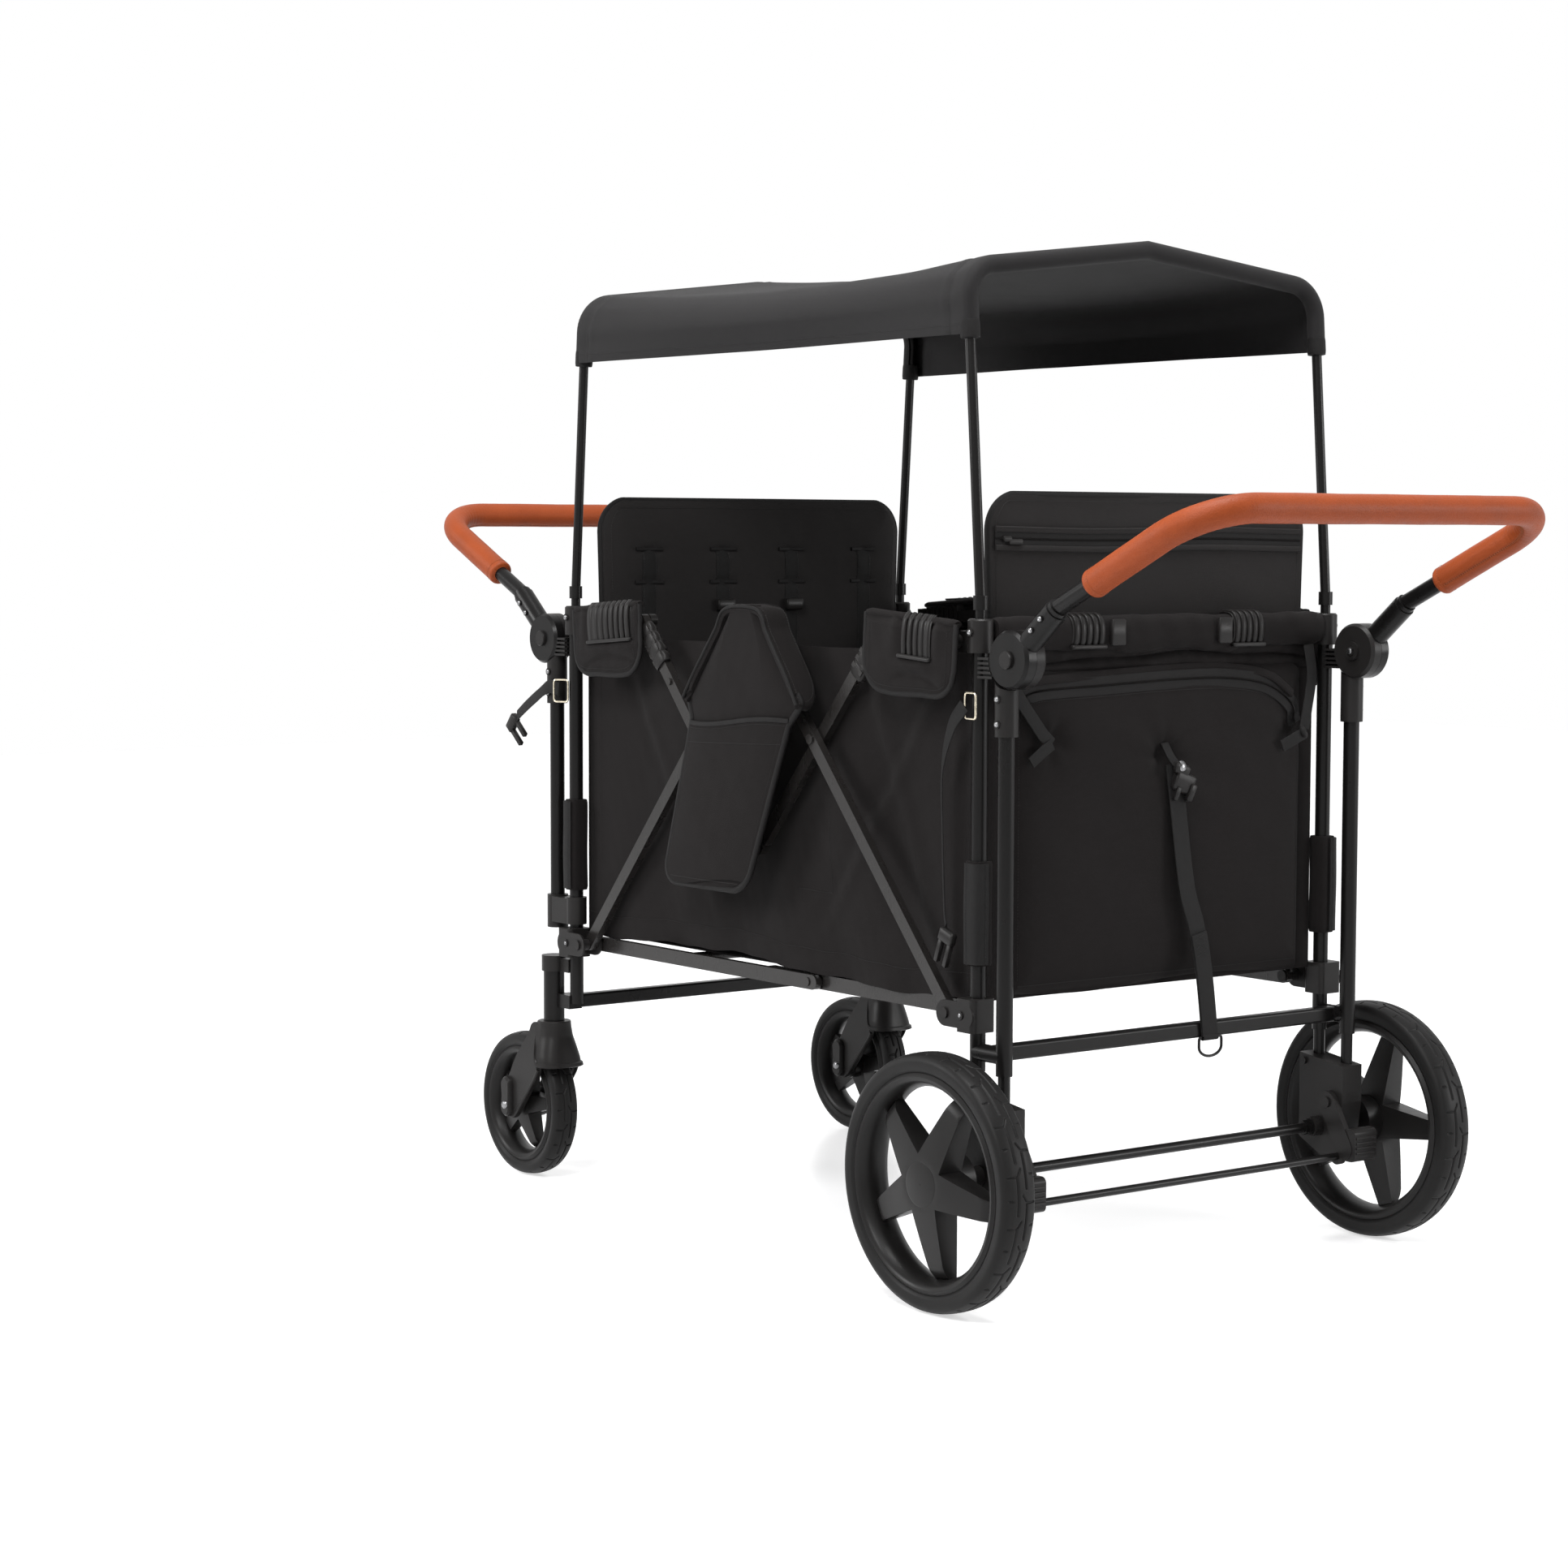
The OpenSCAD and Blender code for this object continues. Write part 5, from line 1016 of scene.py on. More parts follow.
# %% The shape of a pouch
POUCH_TOP, POUCH_TALL, SHOULDER, NECK, POUCH_R = 0.782, 0.350, 0.1167, 0.025, 0.03
POUCH_FACE, POUCH_BACK, POUCH_EDGE, RIDGE_X = 0.3105, 0.3072, 0.3102, 0.3185  # distances from the wagon's middle
POCKET_TOP, POCKET_HALF = 0.1405, 0.985


def pouch_half(d):
    """Half the width at a depth below the peak: narrow top, widest at the shoulder, round lower corners."""
    bottom = 0.058 + np.sqrt(np.maximum(0.0, POUCH_R ** 2 - np.clip(d - POUCH_TALL + POUCH_R, 0, POUCH_R) ** 2))
    neck = np.where(d < SHOULDER + NECK, 0.116 - 0.017 * (d - SHOULDER) / NECK,
                    0.099 - 0.011 * (d - SHOULDER - NECK) / (POUCH_TALL - SHOULDER - NECK - POUCH_R))
    return np.where(d < SHOULDER, 0.024 + 0.092 * d / SHOULDER, np.where(d < POUCH_TALL - POUCH_R, neck, bottom))


def pouch_mid(d):
    """The middle line leans back at the peak and swings forward below the shoulder."""
    below = -0.015 + 0.084 * (d - SHOULDER) / (POUCH_TALL - SHOULDER)
    return np.where(d < SHOULDER, -0.020 + 0.005 * d / SHOULDER, below)


def pouch_rims(d):
    """The rear and the front outline at depths below the peak, as y and z."""
    return [np.stack([pouch_mid(d) + way * pouch_half(d), POUCH_TOP - d], 1) for way in (-1, 1)]


def pouch_skin(a, d, lift=0.0):
    """A point of the outer face: a padded crown that thins to the edge and to the bottom, with soft dents."""
    y, z = pouch_mid(d) + a * pouch_half(d), POUCH_TOP - d
    swell = np.minimum(1, (1 - np.abs(a) ** 4) * (0.55 + 0.45 * np.cos(np.pi * d / POUCH_TALL)) + 0.25 * (1 - a ** 2))
    dents = 0.0013 * ripple(y, z, 91, 0.13) * (1 - a ** 2)
    sag = 0.002 * bump_at(d, 0.27, 0.05) * (1 - a ** 2) - 0.0012 * bump_at(d, 0.150, 0.012) * (1 - np.abs(a) ** 6)
    return np.stack([POUCH_FACE + 0.0092 * swell + dents + sag + lift, y, z], -1)


def pocket_hem(a, share):
    """Depth of the pocket's upper edge: it slants by a share of the width and waves a little."""
    return POCKET_TOP + 0.004 * share + 0.0045 * np.sin(2.4 * a)


print("pouches", round(2 * float(pouch_half(SHOULDER)), 3), "by", POUCH_TALL, "m")

# %% Pouches
def pouch_cover(side, name):
    """The shell, the pocket on it, the tape round both and the rows of stitches."""
    flip = np.array([side, 1, 1])
    a, d = np.meshgrid(np.linspace(-1, 1, 80), np.linspace(0, POUCH_TALL - 0.0005, 130))
    front = pouch_skin(a, d)
    back = np.stack([np.full_like(a, POUCH_BACK), front[..., 1], front[..., 2]], 2)
    shell = build(f"pouch_{name}_shell", [solid(front * flip, back * flip)], CLOTH, "pouches", 60)
    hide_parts(f"pouch_{name}")
    a, d = np.meshgrid(np.linspace(-POCKET_HALF, POCKET_HALF, 60), np.linspace(0, 1, 70))
    d = pocket_hem(a, (a + 1) / 2) + d * (POUCH_TALL - 0.003 - POCKET_TOP - 0.006)
    pocket = build(f"pouch_{name}_pocket", [slab(pouch_skin(a, d, 0.0017) * flip, 0.0016)], CLOTH, "pouches", 60)
    corner = POUCH_TALL - POUCH_R + 0.0295 * np.sin(np.linspace(0, np.pi / 2, 14)[1:])
    rear, fore = pouch_rims(np.concatenate([np.linspace(SHOULDER * 0.9, POUCH_TALL - POUCH_R, 60), corner]))
    edge = np.concatenate([rear, fore[::-1]])
    edge = even(np.c_[np.full(len(edge), POUCH_EDGE), edge], 0.003) * flip
    a = np.linspace(-POCKET_HALF, POCKET_HALF, 50)
    hem = pouch_skin(a, pocket_hem(a, np.linspace(0, 1, 50)), 0.0024) * flip
    tapes = [sweep(edge, band(0.0085, 0.0068), (1, 0, 0)), sweep(hem, band(0.006, 0.0024), (side, 0, 0))]
    build(f"pouch_{name}_binding", tapes, BINDING, "pouches")
    a, tall = np.linspace(-0.975, 0.975, 90), np.linspace(0.160, POUCH_TALL - 0.032, 120)
    lines = [pouch_skin(a, pocket_hem(a, (a + 1) / 2) + 0.006, 0.0027),
             pouch_skin(a, 0.166 + 0.006 * (a + 1) / 2, 0.0026)]
    lines += [pouch_skin(np.full(120, way * 0.93), tall, 0.0026) for way in (-1, 1)]
    lines.append(pouch_skin(np.linspace(-0.9, 0.9, 60), np.full(60, POUCH_TALL - 0.009), 0.0026))
    build(f"pouch_{name}_seams", [stitches(line * flip, (1, 0, 0)) for line in lines], THREAD, "pouches")


def pouch_gusset(side, name):
    """The padded strip over the peak: a puffed profile, as wide as the gusset, carried along the upper outline."""
    rear, fore = pouch_rims(np.linspace(SHOULDER * 1.02, 0.001, 34))
    ridge = np.concatenate([rear, fore[::-1]])
    ridge = curve(np.c_[np.zeros(len(ridge)), ridge][[0, 8, 16, 24, 31, 36, 43, 51, 59, 67]], 90)
    width = 0.036 * np.sqrt(np.clip(1 - (2 * np.linspace(0, 1, 90) - 1) ** 14, 0.0, 1)) + 0.002
    puff = np.array([[-0.5, -0.5], [-0.25, -0.6], [0.25, -0.6], [0.5, -0.5], [0.54, 0.0], [0.46, 0.42],
                     [0.25, 0.62], [0.0, 0.68], [-0.25, 0.62], [-0.46, 0.42], [-0.54, 0.0]])
    profile = puff[None] * np.stack([width, np.full(90, 0.0078)], 1)[:, None]
    ridge[:, 0] = side * (RIDGE_X - width / 2)
    away = np.gradient(ridge, axis=0)[:, [0, 2, 1]] * [0, -1, 1]
    away = away * np.sign((away * (ridge - [0, -0.02, 0.66])).sum(axis=1, keepdims=True))
    gusset = build(f"pouch_{name}_gusset", [sweep(ridge, profile, away)], CLOTH, "pouches", 60)
    out, across = unit(away), np.c_[np.full(90, side), np.zeros((90, 2))]
    rows = [ridge + out * 0.0050 + way * across * (width / 2 - 0.004)[:, None] for way in (1, -1)]
    build(f"pouch_{name}_gusset_seams", [stitches(row, (1, 0, 0)) for row in rows], THREAD, "pouches")
    welt = ridge + out * 0.0028 + across * (width / 2 + 0.0006)[:, None]
    build(f"pouch_{name}_welt", [sweep(welt, circle(0.0022, 8), (1, 0, 0))], BINDING, "pouches")


for side, name in SIDES:
    pouch_cover(side, name)
    pouch_gusset(side, name)
print("two pouches")

# %% [markdown]
# ## Flaps
# A cloth saddle hangs over each link between the corner and the knee. It is padded, has round lower corners and a
# bound edge. A ribbed rubber grip comes over its fold and ends in a ledge, under which the cloth bunches. It could be
# modelled flat and then turned. Its points are set in the link's own tilted frame instead, so the finished piece needs
# no turn of its own.

# %% Flaps
LINK_RISE, LINK_AT = np.radians(4.1), (0.384, 0.7466)  # the links rise to the knee from this place at the corner
FLAP_FACE, FLAP_BACK, FLAP_EDGE, FLAP_R = 0.2998, 0.2952, 0.2985, 0.034  # three distances from the middle, a radius
FOLD_UP, FLAP_DROP = 0.0205, -0.066


def on_link(side, end, t, n, x):
    """Points from t along the link from the corner, n square to it, and a distance x from the wagon's middle."""
    t, n, x = np.broadcast_arrays(t, n, x)
    y = end * (LINK_AT[0] - t * np.cos(LINK_RISE) + n * np.sin(LINK_RISE))
    return np.stack([side * x, y, LINK_AT[1] + t * np.sin(LINK_RISE) + n * np.cos(LINK_RISE)], -1)


def flap_ribs(side, end, ribs, first, pitch):
    """The rubber grip of a flap: a thin plate and ribs that come over the fold, and a ledge under them."""
    middle, wide = first + 0.5 * pitch * (ribs - 1), pitch * ribs
    n, x = curve([[0, -0.021, 0.3030], [0, -0.006, 0.3042], [0, 0.010, 0.3040], [0, 0.0200, 0.3020],
                  [0, 0.0262, 0.2965]], 22)[:, 1:].T
    made = [sweep(on_link(side, end, middle, n, x - 0.001), band(wide + 0.002, 0.0014), (side, 0, 0.6))]
    made += [sweep(on_link(side, end, first + pitch * k, n, x), band(pitch * 0.72, 0.0036), (side, 0, 0.6))
             for k in range(ribs)]
    axes = np.array([[0, -end * np.cos(LINK_RISE), np.sin(LINK_RISE)], [1, 0, 0],
                     [0, end * np.sin(LINK_RISE), np.cos(LINK_RISE)]])
    ledge = on_link(side, end, middle, -0.0235, 0.3048)
    return made + [block(ledge, (wide + 0.006, 0.0075, 0.0046), 0.0012, axes)]


def flap(side, name, end, body, span, ribs, first, pitch):
    """One flap: a puffed face, pressed in under the grip and bunched below it, with round lower corners."""
    a, b = np.meshgrid(np.linspace(0, 1, 60), np.linspace(0, 1, 50))
    wide = span[1] - span[0]
    drop = np.maximum(np.maximum(FLAP_R - a * wide, a * wide - wide + FLAP_R), 0)
    low = FLAP_DROP + FLAP_R - np.sqrt(np.maximum(0, FLAP_R ** 2 - drop ** 2)) + 0.002 * np.sin(a * 7)
    t, n = span[0] + wide * a, FOLD_UP + (low - FOLD_UP) * b
    edge = np.minimum(np.minimum(a, 1 - a) * wide, (1 - b) * 0.086)
    reach = pitch * ribs / 2
    off = np.abs(t - first - 0.5 * pitch * (ribs - 1))
    puff = 0.0042 * (1 - np.exp(-edge / 0.011)) * np.clip(b / 0.12, 0.3, 1)
    puff = puff + 0.0011 * ripple(t, n, 101 + end + side, 0.07)
    pressed = np.exp(-(off / (reach * 1.1)) ** 6) * np.clip((n + 0.030) / 0.010, 0, 1)
    beside = bump_at(off, reach + 0.012, 0.009) * np.clip((n + 0.030) / 0.03, 0, 1)
    bunch = bump_at(n, -0.032, 0.006) * np.exp(-(off / (reach * 1.25)) ** 4)
    crease = bump_at(n, -0.043 - 0.16 * off ** 2 / reach, 0.0035) * np.exp(-(off / (reach * 1.5)) ** 4)
    puff = puff - 0.0030 * pressed + 0.0022 * beside + 0.0036 * bunch - 0.0026 * crease
    face, inner = [on_link(side, end, t, n, x) for x in (FLAP_FACE + puff, FLAP_BACK)]
    pad = build(f"flap_{body}_{name}_cloth", [solid(face, inner)], CLOTH, body, 60)
    hem = np.concatenate([np.stack([t[:, 0], n[:, 0]], 1), np.stack([t[-1], n[-1]], 1)[1:-1],
                          np.stack([t[::-1, -1], n[::-1, -1]], 1)])
    line = even(on_link(side, end, hem[:, 0], hem[:, 1], FLAP_EDGE), 0.003)
    build(f"flap_{body}_{name}_binding", [sweep(line, band(0.0075, 0.0058), (1, 0, 0))], BINDING, body)
    inset = np.concatenate([face[6:-4, 4], face[-5, 4:-4], face[-5:5:-1, -5]]) + [side * 0.0006, 0, 0]
    build(f"flap_{body}_{name}_seams", [stitches(inset, (1, 0, 0))], THREAD, body)
    fold = on_link(side, end, np.linspace(span[0], span[1], 30), FOLD_UP, 0.2955)
    roll = circle(1.0, 14)[None] * np.array([0.7] + [1.0] * 28 + [0.7])[:, None, None] * [0.0072, 0.0046]
    build(f"flap_{body}_{name}_fold", [sweep(fold, roll, (0, 0, 1))], CLOTH, body)
    build(f"flap_{body}_{name}_ribs", flap_ribs(side, end, ribs, first, pitch), PLASTIC, body)
    return pad


for end, body, span, ribs, first, pitch in ((-1, "link_rear", (-0.016, 0.146), 5, 0.0275, 0.0105),
                                            (1, "link_front", (0.006, 0.156), 8, 0.052, 0.0118)):
    pads = [flap(side, name, end, body, span, ribs, first, pitch) for side, name in SIDES]
    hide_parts("flaps_rear" if end < 0 else "flaps_front")
print("four flaps")

# %% [markdown]
# ## Floor
# The floor is two boards in a cloth cover with a soft strip between them. Plain boxes would look too hard, so the
# cover's edges are drawn in and its top is a little loose. The boards ride on the rails, and the strip rides on the
# rear half with a mesh of its own.

# %% Floor
def board(name, x_half, y0, y1, body, node, seed):
    """A covered board: a flat slab with drawn-in edges and a slightly loose cover."""
    a, b = np.meshgrid(np.linspace(-1, 1, 60), np.linspace(0, 1, 40))
    x, y = a * x_half, y0 + (y1 - y0) * b
    low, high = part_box(node)
    edge = np.minimum((1 - np.abs(a)) * x_half, np.minimum(b, 1 - b) * abs(y1 - y0))
    drawn = (high[2] - low[2]) * 0.35 * np.exp(-edge / 0.003)
    top = high[2] - 0.0004 - drawn + 0.0004 * ripple(x, y, seed, 0.08)
    faces = [np.stack([x, y, z], 2) for z in (top, low[2] + drawn * 0.6)]
    made = build(name, [solid(*faces)], CLOTH, body, 60)
    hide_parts(node)
    return made


board("floor_board_rear", 0.2525, -0.3695, -0.0822, "floor_half_rear", "floor_rear", 111)
board("floor_board_front", 0.2420, 0.0822, 0.3695, "floor_half_front", "floor_front", 112)
strip = board("floor_strip", 0.2410, -0.0826, 0.0826, "floor_half_rear", "floor_middle", 113)
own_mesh(strip)
print("floor boards and strip")

# %% [markdown]
# ## Leather grips
# A sleeve of leather is sewn round each handle. Its middle line is the handle's own: straight, a quarter turn, across,
# a quarter turn, straight. A bevelled curve could make the tube, but here the radius has to change along it and round
# it: the leather swells a little from place to place, wrinkles inside the bends, rolls in at its ends, and closes in a
# cross-stitched seam on the side that faces the wagon.

# %% The handles' line
HANDLE_REACH, HANDLE_BEND, GRIP_START = 0.248, 0.075, 0.059
HANDLE_RISE, SOCKET = np.radians(25.5), (0.5465, 0.787)


def handle_line(count):
    """The grip's middle line in the plane of the handle, as x and distance from the socket, with both ends bare."""
    turn, bend, corner_at = np.linspace(0, np.pi / 2, 30), HANDLE_BEND, HANDLE_REACH - HANDLE_BEND
    side = np.stack([np.full(20, TRACK), np.linspace(GRIP_START, corner_at, 20)], 1)
    corner = np.stack([TRACK - bend + bend * np.cos(turn), corner_at + bend * np.sin(turn)], 1)[1:]
    half = np.concatenate([side, corner])
    flat = np.concatenate([half, half[::-1] * [-1, 1]])
    return even(np.c_[flat, np.zeros(len(flat))], count=count)[:, :2]


def handle_frame(end):
    """Origin of the handle's plane, its axis away from the wagon and up, and the direction square to the plane."""
    out, up = np.cos(HANDLE_RISE), np.sin(HANDLE_RISE)
    return np.array([0, end * SOCKET[0], SOCKET[1]]), np.array([0, end * out, up]), np.array([0, -end * up, out])


print("grips", round(length_of(handle_line(200)), 3), "m long")

# %% Leather grips
GRIP_RADIUS, SEAM_ANGLE = 0.0163, np.radians(-38)


def leather_grip(end, name, node, body):
    """A tube round the handle's line, whose radius depends on the place along it and the angle, and its seams."""
    origin, away, square = handle_frame(end)
    flat = handle_line(520)
    path = origin + flat[:, :1] * [1, 0, 0] + flat[:, 1:] * away
    along = unit(np.gradient(path, axis=0))
    inward = unit(np.cross(square, along))
    inward = inward * np.sign((inward * (origin + 0.10 * away - path)).sum(axis=1, keepdims=True))
    run = np.linspace(0, length_of(path), len(path))[:, None]
    tip = np.minimum(run, run[-1] - run)
    turn = np.linspace(0, 2 * np.pi, 56, endpoint=False)
    bent = np.abs(np.gradient(unit(np.gradient(flat, axis=0))[:, 0])) > 0.004
    bent = np.convolve(bent, np.ones(25) / 25, "same")[:, None]
    radius = GRIP_RADIUS + 0.00028 * ripple(run, turn[None] * 0.016, 7, 0.09)
    radius = radius - 0.0020 * np.exp(-tip / 0.0016) + 0.00055 * bump_at(tip, 0.0035, 0.0028)
    radius = radius - 0.0003 * bump_at(tip, 0.0085, 0.0016)
    inside = np.clip(np.cos(turn)[None], 0, 1)
    radius = radius - 0.00035 * bent * inside * (0.5 + 0.5 * np.sin(run * 2 * np.pi / 0.0085))
    radius = radius - 0.0007 * bump_at(turn[None], SEAM_ANGLE % (2 * np.pi), 0.045)
    way = np.cos(turn)[None, :, None] * inward[:, None] + np.sin(turn)[None, :, None] * square
    grip = build(f"{name}_leather", [grid(path[:, None] + radius[..., None] * way, True, True)], LEATHER, body, 60)
    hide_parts(node)
    seam_way = np.cos(SEAM_ANGLE) * inward + np.sin(SEAM_ANGLE) * square
    sewn = slice(8, -8)
    line, way, fore = (path + 0.0161 * seam_way)[sewn], seam_way[sewn], 0.0009 * along[sewn]
    wide = 0.0024 * unit(np.cross(along, seam_way))[sewn]
    rows = []
    for cross, height in ((1, 0.0003), (-1, 0.0004)):
        ends = [line + sign * (wide + cross * fore) + way * height for sign in (-1, 1)]
        rows.append(spindles(ends[0][::2], ends[1][::2], way[::2], 0.00042))
    ring_turn = np.linspace(0, 2 * np.pi, 60)[:, None]
    for k in (6, -7):
        ring = path[k] + 0.0168 * (np.cos(ring_turn) * inward[k] + np.sin(ring_turn) * square)
        rows.append(stitches(ring, along[k], 0.0030, 0.0004))
    build(f"{name}_seam", rows, TAN_THREAD, body)
    build(f"{name}_seam_edge", [sweep(line - way * 0.0003, circle(0.0006, 6), way)], LEATHER_EDGE, body)


leather_grip(-1, "rear_grip", "rear_grip", "rear_handle")
leather_grip(1, "front_grip", "front_grip", "front_handle")
print("two leather grips")

# %% [markdown]
# ## Tyres
# A tyre is its cross-section turned about the axle. The tread is cut into it: long slanted lines, short cross cuts and
# a dash on each shoulder. The cuts could be booleans, which leave ragged faces. Here every cut is a line in the plane
# of the unrolled tread, and the groove's depth depends on the distance from it.

# %% Tyres
def wheel_size(node):
    """Middle, half width and outer radius from the box of a CAD tyre, and the radius where the rim holds it."""
    low, high = map(np.array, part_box(node))
    outer = (high[2] - low[2]) / 2
    return (low + high) / 2, (high[0] - low[0]) / 2, outer, outer - (0.022 if outer > 0.12 else 0.019)


def to_line(u, v, start, stop, pitch):
    """Distance of points from a straight cut in the unrolled tread, which repeats after the pitch."""
    (u0, v0), (u1, v1) = start, stop
    best = 1.0
    for shift in (-pitch, 0, pitch):
        du, dv = u - u0 + shift, v - v0
        t = np.clip((du * (u1 - u0) + dv * (v1 - v0)) / ((u1 - u0) ** 2 + (v1 - v0) ** 2), 0, 1)
        best = np.minimum(best, np.hypot(du - t * (u1 - u0), dv - t * (v1 - v0)))
    return best


TREAD = (((0.0, 0.0060), (0.0, 0.0175), 0.0010), ((0.0, 0.0060), (0.74, 0.0060), 0.0008),
         ((0.0, 0.0060), (-0.16, 0.0), 0.0007), ((0.45, 0.0130), (0.45, 0.0165), 0.0012))  # start, stop, half width


def tyre(name, node, body, cuts, turns):
    """Radius and width come from the CAD tyre's box; cuts is how often the tread's pattern repeats round it."""
    middle, half, outer, bead = wheel_size(node)
    section = np.array([[bead + 0.0004, -half + 0.003], [bead + 0.004, -half + 0.001], [outer - 0.0105, -half],
                        [outer - 0.0065, -half + 0.0011], [outer - 0.0032, -half + 0.0038],
                        [outer - 0.0014, -half + 0.0085], [outer - 0.0005, -half + 0.0135], [outer, 0.0]])
    section = np.concatenate([section, (section * [1, -1])[-2::-1]])
    line = curve(np.c_[section, np.zeros(len(section))], 70)[:, :2]
    line = np.concatenate([line, [[bead - 0.0035, half - 0.008], [bead - 0.0035, -half + 0.008]]])
    angle = np.linspace(0, 2 * np.pi, turns, endpoint=False)[:, None]
    pitch, size = 2 * np.pi * outer / cuts, half / 0.023
    r, w = [np.broadcast_to(line[None, :, k], (turns, len(line))) for k in (0, 1)]
    u, v = (angle * outer + np.where(w < 0, pitch / 2, 0)) % pitch, np.abs(w) / size
    depth = 0
    for start, stop, wide in TREAD:
        gone = to_line(u, v, (start[0] * pitch, start[1]), (stop[0] * pitch, stop[1]), pitch)
        depth = np.maximum(depth, np.clip((wide - gone) / 0.0006 + 0.5, 0, 1))
    r = r - 0.0017 * depth * np.clip((r - (outer - 0.0062)) / 0.002, 0, 1)
    r = r - 0.0007 * (np.abs(w) > half - 0.004) * bump_at(r, bead + 0.0050, 0.0009)
    P = middle + np.stack([w, r * np.cos(angle), r * np.sin(angle)], 2)
    made = build(name, [grid(np.concatenate([P, P[:1]]), True)], RUBBER, body, 60)
    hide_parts(node)


for _, name in SIDES:
    tyre(f"tyre_rear_{name}", f"rear_tyre_{name}", f"wheel_{name}", 16, 1200)
    tyre(f"tyre_caster_{name}", f"caster_tyre_{name}", f"caster_{name}", 12, 900)
print("four tyres")

# %% [markdown]
# ## Rims
# A rim is a deep barrel with a star of five flat blades, which lean back from the hub to the barrel. The star could be
# an extruded outline, but then it couldn't lean. It is its outline scaled towards the axle, row by row, and the height
# of its face is a function of the radius. A flat cap with a fine edge covers the hub.

# %% Rims
REAR_RADIUS = 0.146  # the shapes are written for a rear wheel of this radius and scaled for the casters


def turned(middle, profile, count=180):
    """A closed profile of radius and place along the axle, turned about the axle."""
    angle = np.linspace(0, 2 * np.pi, count + 1)[:, None]
    r, x = np.asarray(profile)[None, :, 0], np.asarray(profile)[None, :, 1]
    return grid(middle + np.stack([x + 0 * angle, r * np.cos(angle), r * np.sin(angle)], 2), True)


def star(middle, side, size, tip, blade, spin):
    """Five blades between a hub and tips: front and rear rows of the outline, scaled, each at its height."""
    angle = spin + np.arange(5) * 2 * np.pi / 5
    lean = np.arcsin(blade / tip)
    polar = [(0.035 * size, -np.pi / 5), (tip, -lean), (tip, lean)]
    corners = np.stack([[r * np.cos(angle + t), r * np.sin(angle + t)] for r, t in polar], 2)
    corners = corners.transpose(1, 2, 0).reshape(-1, 2)
    sides = zip(corners, np.roll(corners, -1, axis=0))
    outline = np.concatenate([np.linspace(p, q, 12, endpoint=False) for p, q in sides])
    share = np.concatenate([np.linspace(0.02, 0.985, 24), [1.0]])
    flat = share[:, None, None] * outline
    slope = np.clip((np.linalg.norm(flat, axis=2) - 0.030 * size) / (tip - 0.030 * size), 0, 1)
    front = 0.024 * size - 0.013 * size * slope ** 1.15 - 0.006 * size * np.clip((slope - 0.86) / 0.14, 0, 1)
    front = front - 0.0012 * (share > 0.99)[:, None]
    rear = -0.009 * size + 0.003 * size * slope
    P = np.concatenate([np.dstack([front, flat]), np.dstack([rear, flat])[::-1]]) * [side, 1, 1] + middle
    return grid(P, True, True)


def rim(name, node, tyre_node, body, side, spin, blade, hub_back):
    """One rim inside its tyre; spin turns the star, blade is the half width at a blade's tip."""
    middle, half, outer, seat = wheel_size(tyre_node)
    size = outer / REAR_RADIUS
    edge = [(seat, half - 0.003), (seat - 0.004, half), (seat - 0.0075, half - 0.0008),
            (seat - 0.0105, half - 0.004), (seat - 0.0145, half - 0.0115), (seat - 0.0165, half - 0.019)]
    barrel = edge + [(r, -x) for r, x in edge[::-1]] + [(seat - 0.0035, -half + 0.008), (seat - 0.0035, half - 0.008)]
    hub = middle + np.outer(np.linspace(0, hub_back, 4), [-side, 0, 0])
    cap = [(0.0005, 0.0245), (0.0240, 0.0245), (0.0256, 0.0240), (0.0262, 0.0230), (0.0262, 0.018), (0.0005, 0.018)]
    made = build(name, [turned(middle, barrel), star(middle, side, size, seat - 0.0160, blade, spin),
                        sweep(hub, circle(0.030 * size, 48), (0, 0, 1)),
                        turned(middle, np.array(cap) * size * [1, side])], WHEEL_PLASTIC, body, 40)
    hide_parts(node)


for side, name in SIDES:
    rim(f"rim_rear_{name}", f"rear_rim_{name}", f"rear_tyre_{name}", f"wheel_{name}", side,
        np.radians(40.5 - 4.5 * side), 0.0115, 0.0325)
    rim(f"rim_caster_{name}", f"caster_rim_{name}", f"caster_tyre_{name}", f"caster_{name}", side,
        np.radians(30), 0.0072, 0.0190)
print("four rims")

# %% [markdown]
# ## Caster forks
# The fork is a moulded hood: round at the neck, wider and squarer below, with a rolled lip that arches over the tyre.
# Two cheeks run back from it to the axle. The hood could be a turned cup with a cut-out. It is a stack of sections
# whose depth changes round the stem, because then the lip follows the opening where the wheel trails.

# %% The hood of a fork
FORK_DROP = np.array([0, 8, 20, 34, 48, 58, 62]) / 1000
FORK_WIDE = np.array([22.5, 22.6, 24, 28, 31.5, 32.6, 32.6]) / 1000
FORK_BACK = np.array([22.5, 22.6, 24, 28, 31.5, 34, 34]) / 1000
FORK_FORE = np.array([22.5, 22.6, 23, 23, 23, 23, 23]) / 1000
TRAIL = 0.062  # how far the axle lies behind the stem
CHEEK = np.array([[-3, 212], [-3, 180], [-6, 152], [0, 140], [20, 116], [48, 84], [62, 79], [76, 87], [79, 104],
                  [72, 124], [58, 148], [42, 174], [28, 198], [21, 212], [9, 214], [-3, 212]]) / 1000


def hood_ring(stem, turn, drop, grow):
    """A ring of the hood: half widths at a drop below the neck, between a circle and a rounded square."""
    long = np.where(np.cos(turn) > 0, np.interp(drop, FORK_DROP, FORK_FORE), np.interp(drop, FORK_DROP, FORK_BACK))
    shape = rounded_square(turn, 2 + drop / 0.06)
    x = (np.interp(drop, FORK_DROP, FORK_WIDE) + grow) * shape * np.sin(turn)
    return stem + np.stack([x, (long + grow) * shape * np.cos(turn), -drop], -1)


